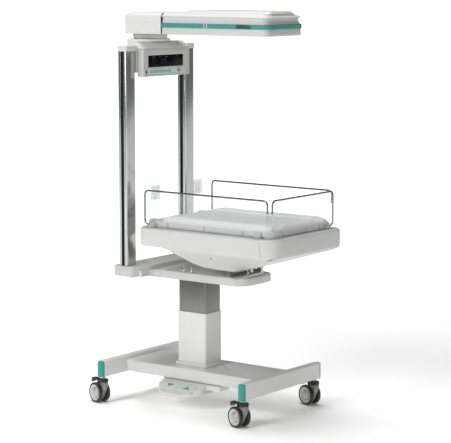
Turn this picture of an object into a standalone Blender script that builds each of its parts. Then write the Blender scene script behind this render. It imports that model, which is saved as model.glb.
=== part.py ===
"""Infant radiant warmer on four braked castors.

Metres, +Z up. The floor is z = 0, x = 0 is the middle plane, the baby's feet and the
overhanging heater head point to -Y, and the mast stands at the +Y end.
"""

import math

import bmesh
import bpy
from mathutils import Matrix, Vector

# Clearances that all pieces share
FIT = 0.0003
RUNNING_FIT = 0.0006
OVERRUN = 0.003
SAME_PLACE = 0.00001

# Where the middle of the base lies behind the middle of the whole object
BASE_MIDDLE_Y = 0.038

# Base: two cross rails and a pressed deck between them
RAIL_Y = 0.430
RAIL_HALF_LENGTH = 0.305
RAIL_THICK = 0.040
RAIL_BOTTOM_Z = 0.135
RAIL_HEIGHT = 0.0776
RAIL_WALL = 0.003
RAIL_EDGE = 0.002
CAP_SPIGOT = 0.018
CAP_ROUND = 0.006
DECK_HALF_WIDTH = 0.140
DECK_TOP_Z = 0.196
DECK_HEIGHT = 0.056
DECK_WALL = 0.003
DECK_EDGE = 0.0025
FOOT_PLATE_THICK = 0.008
FOOT_PLATE_MARGIN = 0.050

# Lifting column
COLUMN_Y = 0.0565
COLUMN_HALF_X = 0.0656
COLUMN_HALF_Y = 0.0865
COLUMN_CORNER = 0.010
COLUMN_WALL = 0.004
COLUMN_TOP_Z = 0.461
COLUMN_GLIDE_GAP = 0.0008
INNER_TUBE_WALL = 0.0035
INNER_TUBE_BOTTOM_Z = 0.270
COLLAR_MARGIN = 0.012
COLLAR_CORNER = 0.018
COLLAR_HEIGHT = 0.016
COLLAR_ROUND = 0.007
COLLAR_ROUND_STEPS = 3
ACTUATOR_FOOT_HALF = 0.036
ACTUATOR_FOOT_HEIGHT = 0.060
ACTUATOR_FOOT_CORNER = 0.008
ACTUATOR_RADIUS = 0.021
ACTUATOR_TOP_Z = 0.450
ACTUATOR_BORE_FLOOR_Z = 0.184
ROD_RADIUS = 0.0125
ROD_BOTTOM_Z = 0.290

# Twin-wheel castors
SWIVEL_X = 0.290
CASTOR_TURN = math.radians(-15.0)
WHEEL_RADIUS = 0.050
WHEEL_SIDES = 24
WHEEL_INNER_FACE = 0.0128
WHEEL_WIDTH = 0.0200
TYRE_SHOULDER = 0.004
RING_OUTER_RADIUS = 0.040
RING_INNER_RADIUS = 0.029
RING_DEPTH = 0.0014
HUB_CAP_RADIUS = 0.0255
HUB_CAP_RISE = 0.0006
HUB_DOME_DROP = 0.0022
HUB_DOME_SHARE = 0.8
HUB_DISH_DEPTH = 0.008
AXLE_RADIUS = 0.005
AXLE_END_WALL = 0.007
TRAIL = 0.037
FORK_HALF_WIDTH = 0.0122
FORK_NOSE_Y = -0.021
FORK_NOSE_Z = 0.088
FORK_HUB_RADIUS = 0.034
FORK_TOP_Z = 0.107
FORK_BACK_Y = 0.020
FORK_EDGE = 0.003
SWIVEL_DISC_RADIUS = 0.0225
SWIVEL_DISC_HEIGHT = 0.0145
SWIVEL_DISC_ROUND = 0.003
STEM_NECK_RADIUS = 0.008
STEM_RADIUS = 0.0055
STEM_RISE = 0.016
TONGUE_HALF_WIDTH = 0.0055
TONGUE_BOTTOM_Z = 0.080
TONGUE_TOP_Z = 0.1035
TONGUE_TAIL = 0.0035
BRAKE_PIN_Y = 0.0305
BRAKE_PIN_Z = 0.0985
BRAKE_PIN_RADIUS = 0.0025
BRAKE_HALF_WIDTH = 0.0122
BRAKE_TAIL_Y = 0.092
BRAKE_THICK = 0.006
BRAKE_TOP_Z = 0.1165
BRAKE_BOSS_RADIUS = 0.0058
BRAKE_CORNER = 0.004
BRAKE_CHEEK_GAP = 0.0005

# Foot switch under the -X edge of the deck
PEDAL_Y = 0.045
PEDAL_HALF_LENGTH = 0.135
PEDAL_BACK_X = -0.070
PEDAL_SHOULDER_X = -0.176
PEDAL_FRONT_X = -0.245
PEDAL_FRONT_SHARE = 0.45
PEDAL_BIG_CORNER = 0.045
PEDAL_BACK_CORNER = 0.006
PEDAL_BOTTOM_Z = 0.085
PEDAL_RIM_HEIGHT = 0.010
PEDAL_RIM_STEP = 0.005
PEDAL_SLOPE = math.radians(20.5)
PEDAL_SLOPE_TOP_X = -0.112
KEY_FACE_X = -0.184
KEY_HALF_LENGTH = 0.048
KEY_HALF_DEPTH = 0.031
KEY_PITCH = 0.108
KEY_CORNER = 0.012
KEY_THICK = 0.007
KEY_PROUD = 0.0025
KEY_TRAVEL = 0.0025
KEY_GAP = 0.0006
SWITCH_BOX_LENGTH = 0.088
SWITCH_BOX_LAP = 0.006
SWITCH_BOX_DEPTH = 0.075
SWITCH_BOX_HEIGHT = 0.031
SWITCH_BOX_CORNER = 0.006

# Support arm: a beam under the bed and a cross foot under the posts
ARM_BOTTOM_Z = 0.630
ARM_BEAM_HEIGHT = 0.038
ARM_HALF_WIDTH = 0.140
ARM_FRONT_Y = -0.312
ARM_FRONT_ROUND = 0.080
ARM_FOOT_BOTTOM_Z = 0.640
ARM_FOOT_TOP_Z = 0.690
ARM_FOOT_HALF_WIDTH = 0.270
ARM_FOOT_REAR_Y = 0.384
ARM_FOOT_FRONT_Y = 0.264
ARM_FOOT_ROOT_Y = 0.232
ARM_FOOT_CORNER = 0.020
ARM_ROOT_CORNER = 0.030
ARM_ROOT_FILLET = 0.060
ARM_FOOT_LAP = 0.050
ARM_EDGE = 0.005
ARM_SKIN = 0.006
ARM_POCKET_HALF_X = 0.046
ARM_POCKET_X = 0.072
ARM_POCKET_HALF_Y = 0.040
ARM_POCKET_FIRST_Y = -0.215
ARM_POCKET_PITCH = 0.105
ARM_POCKET_ROWS = 2
ARM_FOOT_POCKET_X = 0.196
ARM_FOOT_POCKET_HALF = 0.040
LEVELLING_BOLT_X = 0.249
LEVELLING_BOLT_Y = 0.280
LEVELLING_BOLT_RADIUS = 0.007
LEVELLING_BOLT_DROP = 0.007

# Mast posts: slotted aluminium extrusions
POST_INNER_X = 0.1945
POST_WIDTH = 0.0695
POST_FRONT_Y = 0.295
POST_DEPTH = 0.052
POST_CORNER = 0.007
POST_TOP_Z = 1.7297
SLOT_WIDTH = 0.018
SLOT_LIP = 0.003
SLOT_UNDERCUT = 0.004
SLOT_DEPTH = 0.014
POST_CORE_HALF_X = 0.014
POST_CORE_HALF_Y = 0.019

# Mast cover: post caps, cross beam and sloping hood in one moulding
CAP_OVERHANG = 0.004
CAP_HEIGHT = 0.0255
BEAM_HALF_WIDTH = 0.184
BEAM_TOP_Z = 1.770
BEAM_BOTTOM_Z = 1.625
HOOD_FRONT_TOP_Z = 1.7425
HOOD_SKIRT_Z = 1.7385
HOOD_BREAK_Y = 0.302
COVER_EDGE = 0.003

# Control unit
DISPLAY_FRONT_Y = 0.2563
DISPLAY_HALF_WIDTH = 0.180
DISPLAY_BOTTOM_Z = 1.605
DISPLAY_TOP_Z = 1.738
DISPLAY_EDGE = 0.004
WINDOW_HALF_WIDTH = 0.135
WINDOW_BOTTOM_Z = 1.650
WINDOW_TOP_Z = 1.707
WINDOW_X = -0.008
WINDOW_DEPTH = 0.003
WINDOW_CORNER = 0.003
KEYPAD_HALF_WIDTH = 0.150
KEYPAD_BOTTOM_Z = 1.614
KEYPAD_TOP_Z = 1.643
KEYPAD_DEPTH = 0.0015
KEYPAD_KEY_COUNT = 9
KEYPAD_KEY_SHARE = 0.62
KEYPAD_KEY_RISE = 0.0008
KEYPAD_MARGIN = 0.006

# Pivot base on the mast
SWIVEL_AXIS_Y = 0.360
PIVOT_HALF_WIDTH = 0.096
PIVOT_FRONT_Y = 0.286
PIVOT_REAR_Y = 0.452
PIVOT_TOP_Z = 1.784
PIVOT_SKIRT_Z = 1.752
PIVOT_CORNER = 0.045
PIVOT_EDGE = 0.005
PIVOT_LUG_BOTTOM_Z = 1.690
PIVOT_PIN_RADIUS = 0.010
PIVOT_PIN_LENGTH = 0.040

# Heater head
DRUM_RADIUS = 0.085
DRUM_FOOT_RADIUS = 0.078
HEAD_BOTTOM_Z = 1.811
HEAD_HALF_WIDTH = 0.150
HEAD_SPLIT_Y = 0.170
HEAD_FRONT_Y = -0.455
HEAD_CORNER = 0.035
HUB_REAR_Y = 0.415
HUB_HEIGHT = 0.103
HUB_HALF_WIDTH = 0.151
HUB_CORNER = 0.040
HUB_EDGE = 0.026
HUB_EDGE_STEPS = 4
HUB_FOOT_EDGE = 0.005
HUB_WALL = 0.004
BAND_RISE = 0.033
BAND_HEIGHT = 0.0215
BAND_PROUD = 0.006
BAND_WIDTH = 0.016
BAND_EDGE = 0.003
SHELL_WALL = 0.003
SHELL_NECK_INSET = 0.010
EAVE_RISE = 0.0305
SHELL_EAVE_INSET = 0.002
ROOF_RISE = 0.021
SHELL_ROOF_INSET = 0.030
PLATEAU_RISE = 0.010
PLATEAU_INSET = 0.055
PLATEAU_REAR_Y = 0.055
LOWER_SHELL_INSET = 0.004
LOWER_SHELL_EDGE = 0.004
HEAT_WINDOW_HALF_X = 0.098
HEAT_WINDOW_FRONT_Y = -0.380
HEAT_WINDOW_REAR_Y = 0.040
GRILLE_LAP = 0.006
GRILLE_THICK = 0.002
GRILLE_SLOTS = 19
GRILLE_COLUMNS = 2
GRILLE_BAR = 0.006
GRILLE_RIM = 0.010
REFLECTOR_RISE = 0.058
REFLECTOR_SHEET = 0.0015
REFLECTOR_STEPS = 8
ELEMENT_RISE = 0.037
ELEMENT_RADIUS = 0.005
ELEMENT_PITCH = 0.034
ELEMENT_RUNS = 4
ELEMENT_BEND_STEPS = 5
ELEMENT_SIDES = 8
LAMP_Y = 0.105
LAMP_RADIUS = 0.030
LAMP_BEZEL = 0.005
LAMP_DROP = 0.003
LAMP_HEIGHT = 0.022
HUB_TOP_Z = HEAD_BOTTOM_Z + HUB_HEIGHT
BAND_BOTTOM_Z = HEAD_BOTTOM_Z + BAND_RISE
BAND_TOP_Z = BAND_BOTTOM_Z + BAND_HEIGHT
SHELL_EAVE_Z = BAND_TOP_Z + EAVE_RISE
SHELL_ROOF_Z = SHELL_EAVE_Z + ROOF_RISE
PLATEAU_Z = SHELL_ROOF_Z + PLATEAU_RISE
ELEMENT_Z = HEAD_BOTTOM_Z + ELEMENT_RISE

# Bed tray: a hull with a deck rim
TRAY_HALF_WIDTH = 0.300
TRAY_FRONT_Y = -0.600
TRAY_REAR_Y = 0.222
TRAY_CORNER = 0.075
TRAY_RIM_Z = 0.893
TRAY_RIM_ROUND = 0.010
TRAY_RIM_THICK = 0.005
TRAY_OPENING_HALF_X = 0.235
TRAY_OPENING_FRONT_Y = -0.532
TRAY_OPENING_REAR_Y = 0.155
TRAY_OPENING_CORNER = 0.040
TRAY_WALL = 0.004
TRAY_TURN_Z = 0.806
TRAY_TURN_RISE = 0.012
TRAY_BELLY_SLOPE = 0.80
TRAY_BELLY_Z = 0.706
TRAY_CORNER_STEPS = 5
# Places along the tray from its front, and the depth of its underside there, as shares
TRAY_BELLY_SHARES = (
    (0.0, 0.470),
    (0.067, 0.588),
    (0.134, 0.679),
    (0.243, 0.824),
    (0.322, 0.936),
    (0.401, 1.0),
    (0.523, 1.0),
    (0.608, 0.968),
    (0.669, 0.850),
    (0.723, 0.652),
    (0.779, 0.476),
    (1.0, 0.476),
)

# Tilt bearing between arm and tray
TILT_Y = -0.210
TILT_Z = 0.748
TILT_PIN_RADIUS = 0.010
TILT_PIN_HALF_LENGTH = 0.078
TILT_EAR_X = 0.042
TILT_EAR_THICK = 0.010
TILT_EAR_HALF_DEPTH = 0.020
TILT_EAR_ABOVE_PIN = 0.018
TILT_PLATE_HALF_X = 0.070
TILT_PLATE_HALF_Y = 0.055
TILT_PLATE_THICK = 0.008
TILT_PLATE_CORNER = 0.010
TILT_SLOT_HALF_Y = 0.052
TILT_BLOCK_GAP = 0.0010
TILT_BLOCK_HALF_DEPTH = 0.024
TILT_BLOCK_LENGTH = 0.040
TILT_BLOCK_ABOVE_PIN = 0.022

# Tilt handle under the foot end of the tray
HANDLE_Y = -0.347
HANDLE_Z = 0.7095
HANDLE_RADIUS = 0.0095
HANDLE_OUTER_X = -0.278
HANDLE_INNER_X = -0.050
HANDLE_SIDES = 14
HANDLE_ROOT_HALF_X = 0.016
HANDLE_ROOT_HALF_Y = 0.014
HANDLE_RING_X = -0.165
HANDLE_RING_WIDTH = 0.007
HANDLE_RING_PROUD = 0.001
LEVER_PIN_X = -0.050
LEVER_PIN_Z = 0.6955
LEVER_PIN_RADIUS = 0.002
LEVER_OUTER_X = -0.262
LEVER_TIP_Z = 0.6860
LEVER_THICK = 0.005
LEVER_HALF_WIDTH = 0.008
LEVER_CHEEK_GAP = 0.0006
LEVER_CHEEK = 0.003

# Mattress platform and mattress
PLATFORM_HALF_WIDTH = 0.250
PLATFORM_FRONT_Y = -0.552
PLATFORM_REAR_Y = 0.183
PLATFORM_CORNER = 0.035
PLATFORM_HEIGHT = 0.030
PLATFORM_WALL = 0.004
PLATFORM_FLOOR = 0.004
PLATFORM_TAPER = 0.004
MATTRESS_HALF_WIDTH = 0.243
MATTRESS_FRONT_Y = -0.544
MATTRESS_REAR_Y = 0.110
MATTRESS_TOP_Z = 0.950
MATTRESS_MIDDLE_SHARE = 0.46
MATTRESS_CROWN_SHARE = 0.16
MATTRESS_DRAW_IN = 0.004

# Guard panels
HINGE_X = 0.264
HINGE_Z = 0.9085
PANEL_TOP_Z = 1.071
PANEL_FRONT_Y = -0.541
PANEL_REAR_Y = 0.182
ROD_THICK_RADIUS = 0.004
ROD_BEND = 0.020
ROD_SIDES = 8
ROD_BEND_STEPS = 4
PANE_THICK = 0.005
PANE_FOOT_DROP = 0.003
PANE_EASE = 0.006
SHORT_LEG = 0.060
FRONT_HINGE_Y = -0.557
FRONT_PANEL_HALF = 0.248
CLIP_HALF_LENGTH = 0.017
CLIP_OUTSIDE = 0.013
CLIP_FOOT_Z = 0.896
CLIP_TOP_RISE = 0.0135
CLIP_BORE_GAP = 0.0004
CLIP_INSET = 0.050
CLIP_NOTCH_GAP = 0.0012
PIN_KNUCKLE_RISE = 0.006
REAR_PANE_Y = 0.1965
REAR_PANE_HALF_WIDTH = 0.262
REAR_PANE_TOP_Z = 1.075
REAR_PANE_FOOT_Z = 0.8965
REAR_PANE_CORNER = 0.028
REAR_NOTCH_HALF_WIDTH = 0.112
REAR_NOTCH_DEPTH = 0.055
REAR_NOTCH_CORNER = 0.012
GUIDE_X = 0.165
GUIDE_HALF_WIDTH = 0.028
GUIDE_DROP = 0.060
GUIDE_RISE = 0.010
GUIDE_THICK = 0.014
GUIDE_SLOT = 0.014
GUIDE_SLOT_DEPTH = 0.026
GUIDE_CORNER = 0.006
REAR_SLOT_X = 0.190
REAR_SLOT_HALF_LENGTH = 0.022
REAR_SLOT_WALL = 0.003
REAR_SLOT_HEIGHT = 0.032
REAR_SLOT_GAP = 0.0004

# Shares and counts of facets
EDGE_SHARE = 0.4
BEND_SHARE = 0.35
SLOT_SHARE = 1.2
CROWN_SHOULDER_SHARE = 0.8
CORNER_STEPS = 4
ROUND_SIDES = 20


def remove_everything():
    for thing in list(bpy.data.objects):
        bpy.data.objects.remove(thing, do_unlink=True)


def finish(name, colour, roughness, metallic=0.0, alpha=1.0, transmission=0.0):
    """A Principled BSDF material."""
    material = bpy.data.materials.new(name)
    material.use_nodes = True
    shader = material.node_tree.nodes["Principled BSDF"]
    shader.inputs["Base Color"].default_value = (*colour, 1.0)
    shader.inputs["Roughness"].default_value = roughness
    shader.inputs["Metallic"].default_value = metallic
    shader.inputs["Alpha"].default_value = alpha
    shader.inputs["Transmission Weight"].default_value = transmission
    material.diffuse_color = (*colour, alpha)
    return material


def add_pivot(name, place, parent=None, turn=None):
    """An empty at a place given in the base's coordinates, for a joint or a group of pieces."""
    pivot = bpy.data.objects.new(name, None)
    bpy.context.collection.objects.link(pivot)
    place = Vector(place)
    pivot["place"] = place
    pivot.location = place
    if parent is not None:
        pivot.parent = parent
        pivot.location = place - Vector(parent["place"])
    if turn is not None:
        pivot.rotation_euler = turn
    return pivot


def mesh_of(name, bm):
    """Closes a bmesh into a mesh whose faces point outwards, shaded smooth but for its edges."""
    bmesh.ops.recalc_face_normals(bm, faces=bm.faces)
    mesh = bpy.data.meshes.new(name)
    bm.to_mesh(mesh)
    bm.free()
    mesh.shade_smooth()
    mesh.set_sharp_from_angle(angle=math.radians(35.0))
    return mesh


def add_piece(name, bm, material, parent, drawn_in_place=True):
    """A named piece. A shape drawn in the base's coordinates is moved so that its origin is the pivot."""
    if drawn_in_place:
        bmesh.ops.translate(bm, vec=-Vector(parent["place"]), verts=bm.verts)
    mesh = mesh_of(name, bm)
    mesh.materials.append(material)
    return add_copy(name, mesh, parent)


def add_copy(name, mesh, parent):
    """Another piece with a mesh that may be shared."""
    piece = bpy.data.objects.new(name, mesh)
    bpy.context.collection.objects.link(piece)
    piece.parent = parent
    return piece


def use_boolean(piece, bm, operation, drawn_in_place=True):
    """Cuts a shape out of the piece, or joins it on, with a hidden helper."""
    helper_name = f"{piece.name}_helper_{len(piece.modifiers)}"
    if drawn_in_place:
        bmesh.ops.translate(bm, vec=-Vector(piece.parent["place"]), verts=bm.verts)
    helper = add_copy(helper_name, mesh_of(helper_name, bm), piece.parent)
    helper.hide_render = True
    helper.display_type = "WIRE"
    modifier = piece.modifiers.new(operation.title(), "BOOLEAN")
    modifier.operation = operation
    modifier.solver = "EXACT"
    modifier.object = helper


def cut(piece, bm, drawn_in_place=True):
    use_boolean(piece, bm, "DIFFERENCE", drawn_in_place)


def join(piece, bm, drawn_in_place=True):
    use_boolean(piece, bm, "UNION", drawn_in_place)


def round_edges(piece, width, segments=2, angle=math.radians(50.0)):
    bevel = piece.modifiers.new("Round", "BEVEL")
    bevel.width = width
    bevel.segments = segments
    bevel.limit_method = "ANGLE"
    bevel.angle_limit = angle
    bevel.use_clamp_overlap = True


def add_block(bm, low, high):
    """A box between two corners."""
    low, high = Vector(low), Vector(high)
    size = high - low
    made = bmesh.ops.create_cube(bm, size=1.0)
    bmesh.ops.scale(bm, vec=size, verts=made["verts"])
    bmesh.ops.translate(bm, vec=(low + high) / 2, verts=made["verts"])


def rounded(corners, radii, steps=CORNER_STEPS):
    """An outline whose corners are rounded, each to its own radius."""
    points = []
    count = len(corners)
    for number, corner in enumerate(corners):
        here = Vector(corner)
        before = (Vector(corners[number - 1]) - here).normalized()
        after = (Vector(corners[(number + 1) % count]) - here).normalized()
        radius = radii[number]
        if radius == 0:
            points.append(here)
            continue
        half = before.angle(after) / 2
        reach = radius / math.tan(half)
        centre = here + (before + after).normalized() * radius / math.sin(half)
        start = here + before * reach - centre
        sweep = start.angle_signed(here + after * reach - centre)
        for step in range(steps + 1):
            turn = Matrix.Rotation(-sweep * step / steps, 2)
            points.append(centre + turn @ start)
    return [tuple(point) for point in points]


def rounded_rectangle(low, high, radius, steps=CORNER_STEPS):
    corners = [(low[0], low[1]), (high[0], low[1]), (high[0], high[1]), (low[0], high[1])]
    return rounded(corners, [radius] * 4, steps)


def on_plane(point, height, axis):
    """A point of a flat outline, set at a height along the axis square to it."""
    first, second = point
    if axis == "X":
        return Vector((height, first, second))
    if axis == "Y":
        return Vector((first, height, second))
    return Vector((first, second, height))


def add_loft(bm, loops, closed_path=False):
    """Skins loops of equal count in order, and closes the first and the last with a face."""
    rings = [[bm.verts.new(point) for point in loop] for loop in loops]
    pairs = list(zip(rings, rings[1:]))
    if closed_path:
        pairs.append((rings[-1], rings[0]))
    for lower, upper in pairs:
        for number in range(len(lower)):
            other = (number + 1) % len(lower)
            bm.faces.new((lower[number], lower[other], upper[other], upper[number]))
    if not closed_path:
        bm.faces.new(reversed(rings[0]))
        bm.faces.new(rings[-1])


def levels(outlines):
    """Loops for a loft, from pairs of an outline and its height."""
    return [[on_plane(point, height, "Z") for point in outline] for outline, height in outlines]


def add_prism(bm, outline, low, high, axis="Z"):
    """An outline extruded along an axis."""
    floor = bm.faces.new([bm.verts.new(on_plane(point, low, axis)) for point in outline])
    grown = bmesh.ops.extrude_face_region(bm, geom=[floor])
    top = [item for item in grown["geom"] if isinstance(item, bmesh.types.BMVert)]
    rise = on_plane((0, 0), high - low, axis)
    bmesh.ops.translate(bm, vec=rise, verts=top)


def add_sleeve(bm, outer, inner, low, high):
    """The wall between two outlines of equal count, upright."""
    loops = [
        [on_plane(point, low, "Z") for point in outer],
        [on_plane(point, high, "Z") for point in outer],
        [on_plane(point, high, "Z") for point in inner],
        [on_plane(point, low, "Z") for point in inner],
    ]
    add_loft(bm, loops, closed_path=True)


def add_turned(bm, profile, sides, centre, axis, start=0.0):
    """A profile of (radius, along) points, from the axis back to the axis, spun round it."""
    along = on_plane((0, 0), 1, axis)
    across = on_plane((1, 0), 0, axis)
    across = Matrix.Rotation(start, 3, along) @ across
    centre = Vector(centre)
    verts = [bm.verts.new(centre + across * radius + along * height) for radius, height in profile]
    edges = [bm.edges.new(pair) for pair in zip(verts, verts[1:])]
    bmesh.ops.spin(
        bm,
        geom=verts + edges,
        cent=centre,
        axis=along,
        angle=math.tau,
        steps=sides,
        use_merge=True,
    )
    bmesh.ops.remove_doubles(bm, verts=bm.verts, dist=SAME_PLACE)


def add_rod(bm, radius, centre, length, axis, sides=ROUND_SIDES):
    """A plain cylinder that starts at centre and runs along the axis."""
    profile = [(0, 0), (radius, 0), (radius, length), (0, length)]
    add_turned(bm, profile, sides, centre, axis, start=math.pi / sides)


def add_tube(bm, path, radius, sides):
    """A solid tube along points, each ring square to the path."""
    path = [Vector(point) for point in path]
    side = None
    loops = []
    for number, point in enumerate(path):
        ahead = path[min(number + 1, len(path) - 1)] - point
        behind = point - path[max(number - 1, 0)]
        heading = (ahead.normalized() + behind.normalized()).normalized()
        if side is None:
            side = heading.orthogonal().normalized()
        side = (side - heading * side.dot(heading)).normalized()
        other = heading.cross(side)
        loops.append(
            [
                point + radius * (side * math.cos(angle) + other * math.sin(angle))
                for angle in (math.tau * (step + 0.5) / sides for step in range(sides))
            ]
        )
    add_loft(bm, loops)


def bent(points, radius, steps=ROD_BEND_STEPS):
    """An open path through points in space, with each bend rounded."""
    points = [Vector(point) for point in points]
    path = [points[0]]
    for before, here, after in zip(points, points[1:], points[2:]):
        back = (before - here).normalized()
        on = (after - here).normalized()
        half = back.angle(on) / 2
        reach = radius / math.tan(half)
        centre = here + (back + on).normalized() * radius / math.sin(half)
        start = here + back * reach - centre
        end = here + on * reach - centre
        normal = start.cross(end).normalized()
        sweep = start.angle(end)
        for step in range(steps + 1):
            path.append(centre + Matrix.Rotation(sweep * step / steps, 3, normal) @ start)
    path.append(points[-1])
    return path


remove_everything()

white_paint = finish("white_paint", (0.80, 0.80, 0.78), 0.35)
white_plastic = finish("white_plastic", (0.82, 0.82, 0.80), 0.38)
pale_plastic = finish("pale_plastic", (0.72, 0.73, 0.71), 0.42)
teal_plastic = finish("teal_plastic", (0.05, 0.36, 0.30), 0.40)
dark_column = finish("dark_column", (0.20, 0.20, 0.20), 0.30, metallic=0.8)
bright_aluminium = finish("bright_aluminium", (0.70, 0.71, 0.72), 0.22, metallic=1.0)
steel = finish("steel", (0.55, 0.56, 0.57), 0.30, metallic=1.0)
chrome = finish("chrome", (0.80, 0.81, 0.82), 0.08, metallic=1.0)
tyre_rubber = finish("tyre_rubber", (0.02, 0.02, 0.02), 0.55)
castor_grey = finish("castor_grey", (0.34, 0.34, 0.33), 0.40)
black_plastic = finish("black_plastic", (0.02, 0.02, 0.02), 0.35)
black_glass = finish("black_glass", (0.005, 0.005, 0.006), 0.08)
keypad_film = finish("keypad_film", (0.62, 0.76, 0.72), 0.45)
clear_acrylic = finish("clear_acrylic", (0.90, 0.93, 0.93), 0.05, alpha=0.3, transmission=0.9)
frosted_plastic = finish("frosted_plastic", (0.86, 0.87, 0.87), 0.30, transmission=0.3)
mattress_cover = finish("mattress_cover", (0.84, 0.84, 0.83), 0.50)
element_ceramic = finish("element_ceramic", (0.35, 0.20, 0.14), 0.60)

root = add_pivot("warmer", (0, 0, 0))
root.location.y = BASE_MIDDLE_Y
lift = add_pivot("lift_pivot", (0, COLUMN_Y, COLUMN_TOP_Z), root)
head = add_pivot("head_pivot", (0, SWIVEL_AXIS_Y, PIVOT_TOP_Z), lift)
bed = add_pivot("bed_pivot", (0, TILT_Y, TILT_Z), lift)


# Base deck: pressed steel, open below, with a welded plate under the column
def make_deck():
    half_length = RAIL_Y - RAIL_THICK / 2 - FIT
    bottom = DECK_TOP_Z - DECK_HEIGHT
    bm = bmesh.new()
    add_block(
        bm, (-DECK_HALF_WIDTH, -half_length, bottom), (DECK_HALF_WIDTH, half_length, DECK_TOP_Z)
    )
    deck = add_piece("base_deck", bm, white_paint, root)
    round_edges(deck, DECK_EDGE)
    inside_x = DECK_HALF_WIDTH - DECK_WALL
    inside_y = half_length - DECK_WALL
    ceiling = DECK_TOP_Z - DECK_WALL
    plate_front = COLUMN_Y - COLUMN_HALF_Y - FOOT_PLATE_MARGIN
    plate_rear = COLUMN_Y + COLUMN_HALF_Y + FOOT_PLATE_MARGIN
    under = bottom - OVERRUN
    plate_top = bottom + FOOT_PLATE_THICK
    hollow = [
        (-inside_y, under),
        (plate_front, under),
        (plate_front, plate_top),
        (plate_rear, plate_top),
        (plate_rear, under),
        (inside_y, under),
        (inside_y, ceiling),
        (-inside_y, ceiling),
    ]
    bm = bmesh.new()
    add_prism(bm, hollow, -inside_x, inside_x, "X")
    cut(deck, bm)
    bm = bmesh.new()
    add_prism(
        bm, column_outline(FIT, COLUMN_CORNER + FIT), ceiling - OVERRUN, DECK_TOP_Z + OVERRUN
    )
    cut(deck, bm)


def column_outline(outset, radius):
    """The lifting column's section, grown by an outset."""
    low = (-COLUMN_HALF_X - outset, COLUMN_Y - COLUMN_HALF_Y - outset)
    high = (COLUMN_HALF_X + outset, COLUMN_Y + COLUMN_HALF_Y + outset)
    return rounded_rectangle(low, high, radius)


# Cross rails: rectangular tubes whose ends take the caps and whose floors take the castor stems
def make_rail(name, y):
    top = RAIL_BOTTOM_Z + RAIL_HEIGHT
    half = RAIL_THICK / 2
    bm = bmesh.new()
    outer = rounded_rectangle((y - half, RAIL_BOTTOM_Z), (y + half, top), RAIL_EDGE, 1)
    inner = rounded_rectangle(
        (y - half + RAIL_WALL, RAIL_BOTTOM_Z + RAIL_WALL),
        (y + half - RAIL_WALL, top - RAIL_WALL),
        RAIL_EDGE / 2,
        1,
    )
    loops = [
        [on_plane(point, -RAIL_HALF_LENGTH, "X") for point in outer],
        [on_plane(point, RAIL_HALF_LENGTH, "X") for point in outer],
        [on_plane(point, RAIL_HALF_LENGTH, "X") for point in inner],
        [on_plane(point, -RAIL_HALF_LENGTH, "X") for point in inner],
    ]
    add_loft(bm, loops, closed_path=True)
    rail = add_piece(name, bm, white_paint, root)
    for x in (-SWIVEL_X, SWIVEL_X):
        bm = bmesh.new()
        start = RAIL_BOTTOM_Z - OVERRUN
        add_rod(
            bm, STEM_RADIUS + RUNNING_FIT, (x, y, start), RAIL_WALL + 2 * OVERRUN, "Z", 12
        )
        cut(rail, bm)


# Rail end caps: half-round teal mouldings with a spigot in the tube
def make_cap(name, side, y):
    end = RAIL_HALF_LENGTH + FIT
    half = RAIL_THICK / 2
    top = RAIL_BOTTOM_Z + RAIL_HEIGHT
    bm = bmesh.new()
    steps = 8
    turns = [math.pi * step / steps for step in range(steps + 1)]

    def arc(radius):
        return [(side * (end + radius * math.sin(turn)), y + radius * math.cos(turn)) for turn in turns]

    rounds = [(arc(half), RAIL_BOTTOM_Z), (arc(half), top - CAP_ROUND), (arc(half - CAP_ROUND), top)]
    add_loft(bm, levels(rounds))
    cap = add_piece(name, bm, teal_plastic, root)
    wall = RAIL_WALL + RAIL_EDGE
    bm = bmesh.new()
    xs = sorted((side * (end + CAP_ROUND), side * (end - CAP_SPIGOT)))
    clear_of_stem = STEM_RISE + FIT
    add_block(
        bm,
        (xs[0], y - half + wall, RAIL_BOTTOM_Z + clear_of_stem),
        (xs[1], y + half - wall, top - wall),
    )
    join(cap, bm)


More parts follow.
